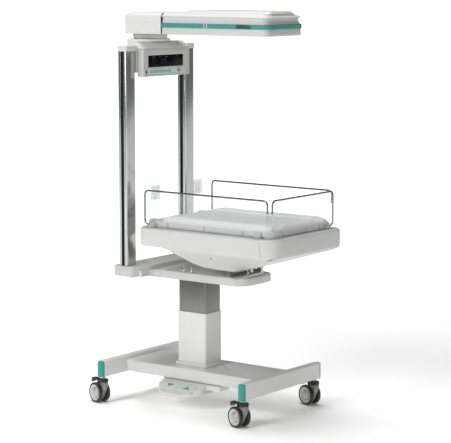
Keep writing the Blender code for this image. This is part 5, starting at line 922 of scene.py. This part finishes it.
# Radius and height of the pivot pin and of the drum over it
DRUM_PROFILE = (
    (0, 1.7449), (0.0098, 1.7449), (0.0098, 1.7848), (0.0765, 1.7848), (0.0785, 1.7854),
    (0.0835, 1.7895), (0.0848, 1.7925), (0.0850, 1.8040), (0.0838, 1.8060), (0.0838, 1.8075),
    (0.0850, 1.8095), (0.0850, 1.8130), (0, 1.8130),
)
hub_plastic = moulded("hub_plastic", colour(0.76, 0.76, 0.745))
# The drum is the hub's white plastic painted a darker grey: painted shade for the shade that falls
# under the hub.
drum_painted_shade = moulded("drum_painted_shade", colour(0.58, 0.59, 0.58))
add_mesh(hub, spun(DRUM_PROFILE, 72, "Z"), 1, (0, DRUM_Y, 0))
show("head_hub_moulding", settled(hub), "head", [hub_plastic, drum_painted_shade], ["head_hub"])

# A black strip set 3 mm in from the surfaces, in the joint between hub and shells: painted shade
# for the dark gap there.
JOINT_SHADE_INSET = 0.003
JOINT_SHADE_SPAN = (0.168, 0.178)


def joint_shade_box(inset):
    return (-HUB_HALF + inset, JOINT_SHADE_SPAN[0], HUB_HALF - inset, JOINT_SHADE_SPAN[1])


joint_shade_strip = flat_outline(box_corners(*joint_shade_box(JOINT_SHADE_INSET)), 0.002)
joint_shade_levels = [
    (HEAD_LOW_Z + JOINT_SHADE_INSET, *joint_shade_box(JOINT_SHADE_INSET)),
    (HUB_TOP_Z - 0.016, *joint_shade_box(JOINT_SHADE_INSET)),
    (HUB_TOP_Z - 0.005, *joint_shade_box(0.014)),
]
show("head_joint_shade_strip", settled(stacked(joint_shade_strip, joint_shade_levels)), "head", [slot_rubber_and_joint_shade])

shell_plastic = moulded("shell_plastic", colour(0.66, 0.67, 0.655), 0.36)
# Height, side inset and front inset: the wall over the band, the hollow neck, the eave's
# lip and the slope to the roof
SHELL_STEPS = (
    (1.8658, 0.0060, 0.0060), (1.8700, 0.0066, 0.0078), (1.8750, 0.0078, 0.0110),
    (1.8800, 0.0092, 0.0145), (1.8840, 0.0099, 0.0152), (1.8880, 0.0100, 0.0135),
    (1.8915, 0.0094, 0.0108), (1.8940, 0.0070, 0.0072), (1.8955, 0.0036, 0.0036),
    (1.8965, 0.0022, 0.0022), (1.8980, 0.0022, 0.0022), (1.8990, 0.0034, 0.0034),
    (1.9020, 0.0078, 0.0100), (1.9080, 0.0168, 0.0226), (1.9140, 0.0256, 0.0345),
    (1.9163, 0.0290, 0.0390), (1.9170, 0.0320, 0.0430),
)


def shell_outline():
    corners = box_corners(-SHELL_HALF, SHELL_FRONT_Y, SHELL_HALF, SHELL_BACK_Y)
    return flat_outline(corners, SHELL_CORNER, (0, 1))


def shell_level(height, side, front):
    return (height, -SHELL_HALF + side, SHELL_FRONT_Y + front, SHELL_HALF - side, SHELL_BACK_Y)


canopy = stacked(shell_outline(), [shell_level(*step) for step in SHELL_STEPS])
raised = flat_outline(box_corners(*RAISED_BOX), RAISED_CORNER)
raised_levels = [level(height, RAISED_BOX, inset) for height, inset in RAISED_EDGE]
add_mesh(canopy, stacked(raised, raised_levels), 0)
show("head_canopy_shell", settled(canopy), "head", [shell_plastic], ["head_canopy"])

trim_teal = toned(
    "trim_teal", "teal_plastic", (0.050, 0.330, 0.275), (0.042, 0.290, 0.240),
    patches=(12.0,), gloss=(0.26, 0.08, 40.0), Specular_IOR_Level=0.4,
)
lens_teal = toned(
    "lens_teal", "teal_plastic", (0.004, 0.105, 0.080), (0.003, 0.085, 0.066),
    patches=(18.0,), gloss=(0.30, 0.06, 60.0), Specular_IOR_Level=0.4,
)
divider_white = moulded("divider_white", colour(0.84, 0.86, 0.85), 0.30)
# How far from the band's edge and how far in, as shares of its easing
BAND_EDGE = ((0, 1), (0.4, 0.4), (1, 0))
band_levels = []
for edge_z, way, edge in ((BAND_LOW_Z, 1, BAND_EDGE), (BAND_HIGH_Z, -1, BAND_EDGE[::-1])):
    for far, deep in edge:
        inset = BAND_EASE * deep
        band_levels.append(shell_level(edge_z + way * BAND_EASE * far, inset, inset))
band = stacked(shell_outline(), band_levels)
for way in (-1, 1):
    face_x = way * SHELL_HALF
    lens_low, lens_high = sorted((face_x - way * 0.003, face_x + way * 0.0006))
    lens_low_z, lens_high_z = BAND_LOW_Z + LENS_MARGIN, BAND_HIGH_Z - LENS_MARGIN
    lens_box = box_corners(LENS_SPAN[0], lens_low_z, LENS_SPAN[1], lens_high_z)
    add_mesh(band, eased(plate(lens_box, lens_low, lens_high, "X"), 0.0005), 1)
    for y in DIVIDER_PLACES:
        low_z, high_z = BAND_LOW_Z + DIVIDER_MARGIN, BAND_HIGH_Z - DIVIDER_MARGIN
        divider_box = box_corners(y - DIVIDER_HALF, low_z, y + DIVIDER_HALF, high_z)
        add_mesh(band, eased(plate(divider_box, lens_low, lens_high, "X"), 0.0004), 2)
show("head_trim_band", settled(band), "head", [trim_teal, lens_teal, divider_white], ["head_trim"])

dress("head_base_shell", "head_base", "head", shell_plastic, 0.0008)


# The heater: a slotted steel guard on the window's lip, a bright trough reflector with a
# ceramic-coated tube bent to four runs, and a frosted examination lamp behind the window.
guard_steel = brushed(
    "guard_steel", "steel", (0.58, 0.58, 0.57), (0.47, 0.47, 0.46),
    grain=(6.0, 300.0, 300.0), detail=3.0, gloss=(0.28, 0.12), metallic=1.0,
)[0]
dress("heater_guard", "heater_grille", "head", guard_steel, 0.0003, 1)

mirror_sheet = toned(
    "mirror_sheet", "bright_aluminium", (0.84, 0.85, 0.86), (0.78, 0.79, 0.80),
    patches=(14.0,), gloss=(0.10, 0.06, 50.0), Metallic=1.0,
)
repaint("heat_reflector", mirror_sheet)

tube_ceramic = toned(
    "tube_ceramic", "element_ceramic", (0.30, 0.17, 0.12), (0.42, 0.27, 0.20),
    patches=(160.0, 5.0), gloss=(0.55, 0.2, 220.0), Specular_IOR_Level=0.3,
)
tube_ceramic.bump(tube_ceramic.noise(400.0, 4.0), 0.0002)
element = merged("heater_element")
for face in element.faces:
    face.smooth = True
show("heater_tube", element, "head", [tube_ceramic], ["heater_element"], math.radians(60.0))

lamp_frost = toned(
    "lamp_frost", "frosted_plastic", (0.82, 0.83, 0.83), (0.74, 0.75, 0.75),
    patches=(120.0, 3.0), gloss=(0.34, 0.12, 260.0),
)
dress("examination_lamp", "exam_lamp", "head", lamp_frost, 0.0005)


# The tilt bearing: a steel bracket bolted to the arm, with two ears and a pin that the tray
# rocks on.
bracket_steel = powder_coat("bracket_enamel", colour(0.60, 0.60, 0.59))
bracket = eased(merged("tilt_bracket"), 0.0006)
for x in (-0.058, 0.058):
    for y in (-0.252, -0.168):
        add_mesh(bracket, screw_head(0.0050, 0.0045, 1.3), 1, (x, y + BASE_MIDDLE_Y, 0.6763))
show("tilt_bracket_welded", bracket, "lift", [bracket_steel, bolt_steel], ["tilt_bracket"])


# The bed tray: a vacuum-formed hull with a rolled rim, a shallow well under the mattress
# platform and a deep belly over the tilt bearing. A seam shows near the foot end, and a probe
# socket is let into the near side. A cable slot there is not cut: a thin black mark is its painted
# shade.
TRAY_HALF = 0.300
TRAY_FRONT_Y = -0.600
TRAY_BACK_Y = 0.222
TRAY_CORNER = 0.075
TRAY_RIM_Z = 0.893
TRAY_ROLL = 0.010
TRAY_TURN_Z = 0.806
TRAY_EASE = 0.010
TRAY_SLOPE = 0.80
TRAY_DEPTH = 0.187
TRAY_BOX = (-TRAY_HALF, TRAY_FRONT_Y, TRAY_HALF, TRAY_BACK_Y)
WELL_BOX = (-0.235, -0.532, 0.235, 0.155)
WELL_DEPTH = 0.055
WELL_EDGE = 0.004
# Rise and inset of the well's floor where it turns up into the wall
WELL_FOOT = ((0.0, 0.012), (0.0, 0.004), (0.004, 0.0))
EAR_SLOT = (-0.048, -0.262, 0.048, -0.158)
EAR_SLOT_TOP_Z = 0.771
# Places along the tray from its front, and the depth of its underside there, as shares
BELLY = (
    (0.0, 0.470), (0.067, 0.588), (0.134, 0.679), (0.243, 0.824), (0.322, 0.936), (0.401, 1.0),
    (0.523, 1.0), (0.608, 0.968), (0.669, 0.850), (0.723, 0.652), (0.779, 0.476), (1.0, 0.476),
)
BELLY_BLEND = 0.012


def belly_line(y):
    """The height of the hull's lowest line at a place along the tray, its bends blended."""
    total = 0
    for step in range(-4, 5):
        share = (y + step * BELLY_BLEND / 4 - TRAY_FRONT_Y) / (TRAY_BACK_Y - TRAY_FRONT_Y)
        share = min(1.0, max(0.0, share))
        for (start, low), (end, high) in zip(BELLY, BELLY[1:]):
            if share <= end:
                total += low + (high - low) * (share - start) / (end - start)
                break
    return TRAY_RIM_Z - TRAY_DEPTH * total / 9


def plan_half(y):
    """The half width of the tray's plan, which is rounded at its corners."""
    near = min(y - TRAY_FRONT_Y, TRAY_BACK_Y - y)
    back = TRAY_CORNER - min(TRAY_CORNER, max(0.0, near))
    return TRAY_HALF - TRAY_CORNER + math.sqrt(TRAY_CORNER * TRAY_CORNER - back * back)


def underside(x, y):
    """The hull's underside: the flanks slope in from the wall until they meet the belly line."""
    bottom = belly_line(y)
    inward = max(0.0, plan_half(y) - abs(x))
    edge = min(inward, y - TRAY_FRONT_Y, TRAY_BACK_Y - y)
    round_in = max(0.0, TRAY_EASE - edge)
    flank = TRAY_TURN_Z - TRAY_SLOPE * inward
    gap = flank - bottom
    low = (flank + bottom + math.sqrt(gap * gap + BELLY_BLEND * BELLY_BLEND / 4)) / 2
    return low + 0.6 * round_in * round_in / TRAY_EASE


INNER_RINGS = 30
INNER_INSET = 0.016
tray_corners = []
side_places = [-0.516 + 0.0217 * step for step in range(31)]
end_places = [-0.216 + 0.048 * step for step in range(10)]
tray_corners.append((-TRAY_HALF, TRAY_FRONT_Y))
tray_corners += [(x, TRAY_FRONT_Y) for x in end_places]
tray_corners.append((TRAY_HALF, TRAY_FRONT_Y))
tray_corners += [(TRAY_HALF, y) for y in side_places]
tray_corners.append((TRAY_HALF, TRAY_BACK_Y))
tray_corners += [(x, TRAY_BACK_Y) for x in reversed(end_places)]
tray_corners.append((-TRAY_HALF, TRAY_BACK_Y))
tray_corners += [(-TRAY_HALF, y) for y in reversed(side_places)]
square = [0, 11, 43, 54]  # the outline's four true corners
tray_levels = []
for rise, inset in WELL_FOOT:
    tray_levels.append(level(TRAY_RIM_Z - WELL_DEPTH + rise, WELL_BOX, inset))
for height, inset in round_over(TRAY_RIM_Z, WELL_EDGE, 3):
    tray_levels.append(level(height, WELL_BOX, -inset))
for height, inset in reversed(round_over(TRAY_RIM_Z, TRAY_ROLL, 8)):
    tray_levels.append(level(height, TRAY_BOX, inset))
tray_levels.append(level(TRAY_RIM_Z - 0.030, TRAY_BOX))
tray_levels.append(level(lambda x, y: underside(x, y) + 0.006, TRAY_BOX))
for inset in (0.0006, 0.002, 0.004, 0.007, 0.011, INNER_INSET):
    tray_levels.append(level(underside, TRAY_BOX, inset))
for ring in range(1, INNER_RINGS):
    left = (1 - ring / INNER_RINGS) * (TRAY_HALF - INNER_INSET)
    shrink = left / (TRAY_HALF - INNER_INSET)
    middle_y = EAR_SLOT[1] * 0.5 + EAR_SLOT[3] * 0.5
    south = middle_y + (TRAY_FRONT_Y + INNER_INSET - middle_y) * shrink
    north = middle_y + (TRAY_BACK_Y - INNER_INSET - middle_y) * shrink
    tray_levels.append((underside, -left, south, left, north))
tray = stacked(flat_outline(tray_corners, TRAY_CORNER, square), tray_levels)


def evaluated(thing):
    """A mesh of an object as its modifiers leave it."""
    graph = bpy.context.evaluated_depsgraph_get()
    return bpy.data.meshes.new_from_object(thing.evaluated_get(graph))


def carved(mesh, tool):
    """Cuts one closed mesh out of another."""
    parts = [add_shape("carved_piece", mesh), add_shape("carving_tool", tool)]
    cutter = parts[0].modifiers.new("cut", "BOOLEAN")
    cutter.object = parts[1]
    cutter.solver = "EXACT"
    whole = evaluated(parts[0])
    result = bmesh.new()
    result.from_mesh(whole)
    leftovers = [part.data for part in parts] + [whole]
    for part in parts:
        bpy.data.objects.remove(part)
    for data in leftovers:
        bpy.data.meshes.remove(data)
    bmesh.ops.remove_doubles(result, verts=result.verts, dist=SAME_PLACE)
    return result


ear_tool = plate(box_corners(*EAR_SLOT), TRAY_RIM_Z - 0.25, EAR_SLOT_TOP_Z)
tray = carved(tray, ear_tool)
SEAM_LINE = (
    (-0.5195, 0.884), (-0.5165, 0.884), (-0.5205, 0.841),
    (-0.5295, 0.802), (-0.5325, 0.802), (-0.5235, 0.841),
)
SEAM_DEPTH = 0.0024
for way in (-1, 1):
    seam_x = sorted((way * (TRAY_HALF - SEAM_DEPTH), way * (TRAY_HALF + 0.004)))
    tray = carved(tray, plate(SEAM_LINE, *seam_x, "X"))
hull_plastic = moulded("hull_plastic", colour(0.70, 0.705, 0.685), 0.32)
# Black for the probe socket, and for the painted shade of the cable slot's opening.
socket_black_and_slot_shade = moulded("socket_black_and_slot_shade", colour(0.035, 0.035, 0.037), 0.42)
legend_grey = moulded("legend_grey", colour(0.30, 0.31, 0.31), 0.50)
socket_profile = [(0, 0.0012), (0.0038, 0.0012), (0.0042, 0.0008), (0.0042, -0.003), (0, -0.003)]
socket = spun(socket_profile, 24, "X")
mark_profile = box_corners(0.0062, -0.001, 0.0072, 0.0005)
ring_mark = spun([*mark_profile, mark_profile[0]], 16, "X", angle=math.radians(140))
SOCKET_PLACE = (-0.262, -0.213, 0.776)
onto_flank = Matrix.Rotation(math.pi / 2 + math.atan(TRAY_SLOPE), 4, "Y")
ring_turn = Matrix.Rotation(math.radians(10), 4, "X")
add_mesh(tray, turned_about(socket, onto_flank), 1, SOCKET_PLACE)
add_mesh(tray, turned_about(ring_mark, onto_flank @ ring_turn), 2, SOCKET_PLACE)
# The cable slot is not cut. A thin black mark stands on the hull as painted shade for the slot's
# dark opening.
SLOT_SLOPE = 0.37
SLOT_BACK = 0.555
slot_outline = [(-0.2842, -0.555), (-0.2797, -0.578), (-0.2740, -0.577), (-0.2785, -0.554)]
cable_slot_shade_mark = eased(plate(slot_outline, 0.7962, 0.7990), 0.0006)
for vert in cable_slot_shade_mark.verts:
    vert.co.z -= SLOT_SLOPE * (vert.co.y + SLOT_BACK)
add_mesh(tray, cable_slot_shade_mark, 1)
show("bed_tray_hull", settled(tray), "bed", [hull_plastic, socket_black_and_slot_shade, legend_grey], ["bed_tray"])


# The tilt handle: a black rubber-sleeved grip on two moulded legs under the hull, with a
# white release lever along it, which is squeezed to unlock the tilt.
GRIP_Y = -0.347
GRIP_Z = 0.7095
GRIP_RADIUS = 0.0095
GRIP_OUTER_X = -0.278
GRIP_INNER_X = -0.050
GRIP_RING_X = -0.165
GRIP_RIBS = 14
grip_rubber = moulded("grip_rubber", colour(0.045, 0.046, 0.048), 0.55, 0.00010)
handle_white = moulded("handle_white", colour(0.72, 0.72, 0.71), 0.36)
lever_white = moulded("lever_white", colour(0.80, 0.80, 0.79), 0.32)
grip_profile = [(0, GRIP_OUTER_X)]
for inward, up in quarter(4):
    grip_profile.append((GRIP_RADIUS - 0.004 * (1 - up), GRIP_OUTER_X + 0.004 * inward))
for rib in range(GRIP_RIBS):
    start = GRIP_OUTER_X + 0.010 + rib * 0.0068
    for far, depth in ((0, 0), (0.0006, 0.0007), (0.0016, 0.0007), (0.0022, 0)):
        grip_profile.append((GRIP_RADIUS - depth, start + far))
grip_profile += [(GRIP_RADIUS, GRIP_INNER_X), (0, GRIP_INNER_X)]
handle = spun(grip_profile, 32, "X", (0, GRIP_Y, GRIP_Z))
RING_PROFILE = (
    (0.008, 0), (0.0100, 0), (0.0105, 0.0005), (0.0105, 0.0065),
    (0.0100, 0.007), (0.008, 0.007), (0.008, 0),
)
add_mesh(handle, spun(RING_PROFILE, 32, "X", (GRIP_RING_X, GRIP_Y, GRIP_Z)), 1)
LEG_HALF_LENGTH = 0.014
LEG_HALF_THICK = 0.008
for leg_x, leg_low in ((-0.133, GRIP_Z), (GRIP_INNER_X, 0.6993)):
    front, back = GRIP_Y - LEG_HALF_LENGTH, GRIP_Y + LEG_HALF_LENGTH
    leg_line = [(front, leg_low), (back, leg_low)]
    leg_line += [(y, belly_line(y) + 0.001) for y in (back, front)]
    leg = plate(leg_line, leg_x - LEG_HALF_THICK, leg_x + LEG_HALF_THICK, "X")
    add_mesh(handle, eased(leg, 0.002, 3), 1)
CHEEK_HALF = 0.0025
cheek_line = box_corners(GRIP_Y - CHEEK_HALF, 0.6935, GRIP_Y + CHEEK_HALF, 0.702)
for way in (-1, 1):
    cheek = plate(cheek_line, GRIP_INNER_X - LEG_HALF_THICK, GRIP_INNER_X + LEG_HALF_THICK, "X")
    add_mesh(handle, eased(cheek, 0.0008), 1, (0, way * 0.0113, 0))
show("tilt_handle_grip", settled(handle), "bed", [grip_rubber, handle_white], ["tilt_handle"])
dress("tilt_lever_moulding", "tilt_lever", "tilt_lever_body", lever_white, 0.0008, 3)


# The mattress platform: a shallow pan, moulded in milky plastic that lets X-rays and some
# light through, with clip blocks outside its wall that the guard rods turn in.
pan_plastic = toned(
    "pan_plastic", "frosted_plastic", (0.86, 0.875, 0.865), (0.80, 0.815, 0.81),
    patches=(9.0,), gloss=(0.26, 0.10, 80.0), alpha=(0.55, 0.08, 15.0),
)
clip_clear = toned(
    "clip_clear", "frosted_plastic", (0.74, 0.77, 0.76), (0.66, 0.69, 0.68),
    patches=(30.0,), gloss=(0.20, 0.10, 90.0), alpha=(0.34, 0.10, 40.0),
)
tab_grey = moulded("tab_grey", colour(0.34, 0.35, 0.35), 0.40)
# Beyond these planes of the pan's wall stand the clip blocks
PAN_WALL_X = 0.2508
PAN_FRONT_Y = -0.5528
PAN_BACK_Y = 0.1838
pan = eased(merged("mattress_platform"), 0.0006)
for face in pan.faces:
    spot = face.calc_center_median() - Vector((0, BASE_MIDDLE_Y, 0))
    outside = abs(spot.x) > PAN_WALL_X or spot.y < PAN_FRONT_Y or spot.y > PAN_BACK_Y
    face.material_index = 1 if outside else 0
show("mattress_pan", pan, "bed", [pan_plastic, clip_clear], ["mattress_platform"])
tabs = bmesh.new()
TAB_HALF = 0.0035
TAB_SPAN_Z = (0.8995, 0.9215)
TAB_SIDE_X = (0.2492, 0.2516)
TAB_FRONT_Y = (-0.5536, -0.5512)


def add_tab(place, low, high, axis):
    """A tab on the pan's wall, at a place along it and between two planes."""
    corners = box_corners(place - TAB_HALF, TAB_SPAN_Z[0], place + TAB_HALF, TAB_SPAN_Z[1])
    add_mesh(tabs, eased(plate(corners, low, high, axis), 0.0006), 0)


for y in (0.055, -0.162, -0.389):
    for way in (-1, 1):
        add_tab(y, *sorted(way * x for x in TAB_SIDE_X), "X")
for x in (-0.160, 0.034, 0.140):
    add_tab(x, *TAB_FRONT_Y, "Y")
show("mattress_pan_tabs", settled(tabs), "bed", [tab_grey])


# The mattress: foam in a welded cover of coated cloth. It is filled by pressure, so that it
# swells between the pan's wall and the faint stitched channels along its top.
PAD_FRONT_Y = -0.5415
PAD_BACK_Y = 0.1075
PAD_BOX = (-0.2405, PAD_FRONT_Y, 0.2405, PAD_BACK_Y)
PAD_FOOT_Z = 0.8976
PAD_START_Z = 0.9435
PAD_CORNER = 0.030
PAD_FOOT_ROUND = 0.010
PAD_TOP_ROUND = 0.014
PAD_GRID = 0.006
PAD_PRESSURE = 4.0
PAD_FRAMES = 20
PAD_MOVE = 0.0065
CHANNEL_PLACES = (-0.120, 0.0, 0.120)
CHANNEL_HALF = 0.004
CHANNEL_END = 0.03
HELD_FOOT = 0.004
HELD_TOP = 0.003

pad_edge = [(PAD_FOOT_Z, PAD_FOOT_ROUND)]
pad_edge += round_over(PAD_FOOT_Z, PAD_FOOT_ROUND, 4, -1)
pad_edge += round_over(PAD_START_Z, PAD_TOP_ROUND, 6)
pad_levels = [level(height, PAD_BOX, inset) for height, inset in pad_edge]
pad_start = settled(stacked(flat_outline(box_corners(*PAD_BOX), PAD_CORNER), pad_levels))
pad = add_shape("mattress_cushion", pad_start)
grid = pad.modifiers.new("even_grid", "REMESH")
grid.mode = "VOXEL"
grid.voxel_size = PAD_GRID
pad.data = evaluated(pad)
pad.modifiers.clear()
held = pad.vertex_groups.new(name="held")
for vert in pad.data.vertices:
    on_channel = min(abs(vert.co.x - place) for place in CHANNEL_PLACES) < CHANNEL_HALF
    y = vert.co.y - BASE_MIDDLE_Y
    within = PAD_FRONT_Y + CHANNEL_END < y < PAD_BACK_Y - CHANNEL_END
    if vert.co.z < PAD_FOOT_Z + HELD_FOOT:
        held.add([vert.index], 1.0, "REPLACE")
    elif on_channel and within and vert.co.z > PAD_START_Z - HELD_TOP:
        held.add([vert.index], 1.0, "REPLACE")
filling = pad.modifiers.new("filling", "CLOTH")
cloth = filling.settings
cloth.quality = 5
cloth.mass = 0.3
cloth.tension_stiffness = 20.0
cloth.compression_stiffness = 20.0
cloth.shear_stiffness = 10.0
cloth.bending_stiffness = 0.6
cloth.use_pressure = True
cloth.uniform_pressure_force = PAD_PRESSURE
cloth.effector_weights.gravity = 0.0
cloth.vertex_group_mass = "held"
filling.point_cache.frame_start = 1
filling.point_cache.frame_end = PAD_FRAMES
for frame_number in range(1, PAD_FRAMES + 1):
    bpy.context.scene.frame_set(frame_number)
filled = evaluated(pad)
for vert, start in zip(filled.vertices, pad.data.vertices):
    move = vert.co - start.co
    if move.length > PAD_MOVE:
        vert.co = start.co + move * (PAD_MOVE / move.length)
pad.modifiers.clear()
pad.data = filled
bpy.context.scene.frame_set(1)
pad.data.name = "mattress_cushion"
pad.data.shade_smooth()
smoother = pad.modifiers.new("smooth_cover", "SUBSURF")
smoother.levels = 1
smoother.render_levels = 1
cover_cloth = toned(
    "cover_cloth", "mattress_cover", (0.90, 0.905, 0.895), (0.84, 0.845, 0.84),
    patches=(9.0, 4.0), gloss=(0.55, 0.12, 60.0), Specular_IOR_Level=0.3,
)
weave = cover_cloth.noise(1400.0, 3.0) + 0.6 * cover_cloth.noise(26.0, 3.0)
cover_cloth.bump(weave, 0.0004)
pad.data.materials.clear()
pad.data.materials.append(cover_cloth.material)
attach(pad, "bed")
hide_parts("mattress")


# The guards: a clear acrylic pane let into a bent chromed rod on three sides, which folds
# outwards about the rod's foot, and a loose pane at the head end that lifts out of two slots.
GUARD_ROD_RADIUS = 0.004
GUARD_BEND = 0.020
SIDE_GUARD_X = 0.264
FRONT_GUARD_Y = -0.557
GUARD_FOOT_Z = 0.9085
GUARD_TOP_Z = 1.071
SHORT_LEG_Z = 1.011
REAR_PANE_Y = 0.1965
REAR_PANE_HALF = 0.0027
BROAD_FACE = 0.002


def bent_rod(points):
    """A round rod along a line of points, its corners bent through right angles."""
    mesh = bmesh.new()
    points = [Vector(point) for point in points]
    way = (points[1] - points[0]).normalized()
    facing = Vector((0, 0, 1)).rotation_difference(way).to_matrix().to_4x4()
    start = Matrix.Translation(points[0]) @ facing
    bmesh.ops.create_circle(mesh, cap_ends=True, segments=16, radius=GUARD_ROD_RADIUS, matrix=start)
    face = mesh.faces[:][0]
    for number in range(1, len(points)):
        here, there = points[number - 1], points[number]
        last = number == len(points) - 1
        way = (there - here).normalized()
        length = (there - here).length - GUARD_BEND * ((number > 1) + (not last))
        face = grown_face(mesh, face)
        bmesh.ops.translate(mesh, vec=way * length, verts=face.verts)
        if not last:
            onward = (points[number + 1] - there).normalized()
            centre = there + (onward - way) * GUARD_BEND
            swept = bmesh.ops.spin(
                mesh,
                geom=[face, *face.edges, *face.verts],
                cent=centre,
                axis=way.cross(onward),
                angle=math.pi / 2,
                steps=10,
            )
            face = next(item for item in swept["geom_last"] if isinstance(item, bmesh.types.BMFace))
    bmesh.ops.remove_doubles(mesh, verts=mesh.verts, dist=SAME_PLACE)
    bmesh.ops.recalc_face_normals(mesh, faces=mesh.faces)
    return mesh


rod_chrome = toned(
    "rod_chrome", "chrome", (0.20, 0.205, 0.21), (0.15, 0.155, 0.16),
    patches=(20.0,), gloss=(0.14, 0.08, 70.0), Metallic=1.0,
)
clear_sheet = toned(
    "clear_sheet", "clear_acrylic", (0.90, 0.94, 0.94), (0.86, 0.91, 0.91),
    patches=(4.0,), gloss=(0.04, 0.03, 30.0), alpha=(0.07, 0.03, 6.0),
)
sheet_edge = toned(
    "sheet_edge", "clear_acrylic", (0.60, 0.68, 0.67), (0.48, 0.56, 0.55),
    patches=(12.0,), gloss=(0.20, 0.1, 60.0), alpha=(0.26, 0.1, 25.0),
)
guide_frost = toned(
    "guide_frost", "frosted_plastic", (0.74, 0.77, 0.77), (0.66, 0.69, 0.69),
    patches=(40.0,), gloss=(0.36, 0.1, 90.0), alpha=(0.42, 0.06, 30.0),
)


def sheet(node, side):
    """A pane copied from its CAD node: its broad faces clear, its edges a little greener."""
    mesh = eased(merged(node), 0.0006)
    for face in mesh.faces:
        broad = abs(face.normal["XYZ".index(side)]) > 0.9 and face.calc_area() > BROAD_FACE
        face.material_index = 0 if broad else 1
    return mesh


def rod_line(pin, leg, far):
    """A guard rod's line: its hinge pin, long leg, top rail and short leg."""
    line = [(pin, GUARD_FOOT_Z), (leg, GUARD_FOOT_Z), (leg, GUARD_TOP_Z)]
    return line + [(far, GUARD_TOP_Z), (far, SHORT_LEG_Z)]


def add_guard(side, rod, across):
    """A guard's rod and pane; across is the axis through the pane."""
    rod_node, pane_node = f"guard_rod_{side}", f"guard_pane_{side}"
    show(f"{rod_node}_bent", settled(rod), f"guard_{side}", [rod_chrome], [rod_node])
    pane = sheet(pane_node, across)
    show(f"{pane_node}_sheet", pane, f"guard_{side}", [clear_sheet, sheet_edge], [pane_node])


side_line = rod_line(0.1235, 0.182, -0.541)
for side, way in (("left", -1), ("right", 1)):
    add_guard(side, bent_rod([(way * SIDE_GUARD_X, y, z) for y, z in side_line]), "X")
front_line = rod_line(0.1895, 0.248, -0.248)
add_guard("front", bent_rod([(x, FRONT_GUARD_Y, z) for x, z in front_line]), "Y")
rear_sheet = sheet("rear_pane", "Y")
for face in rear_sheet.faces:
    if abs(face.calc_center_median().y - BASE_MIDDLE_Y - REAR_PANE_Y) > REAR_PANE_HALF:
        face.material_index = 2
rear_finishes = [clear_sheet, sheet_edge, guide_frost]
show("rear_pane_sheet", rear_sheet, "guard_rear", rear_finishes, ["rear_pane"])
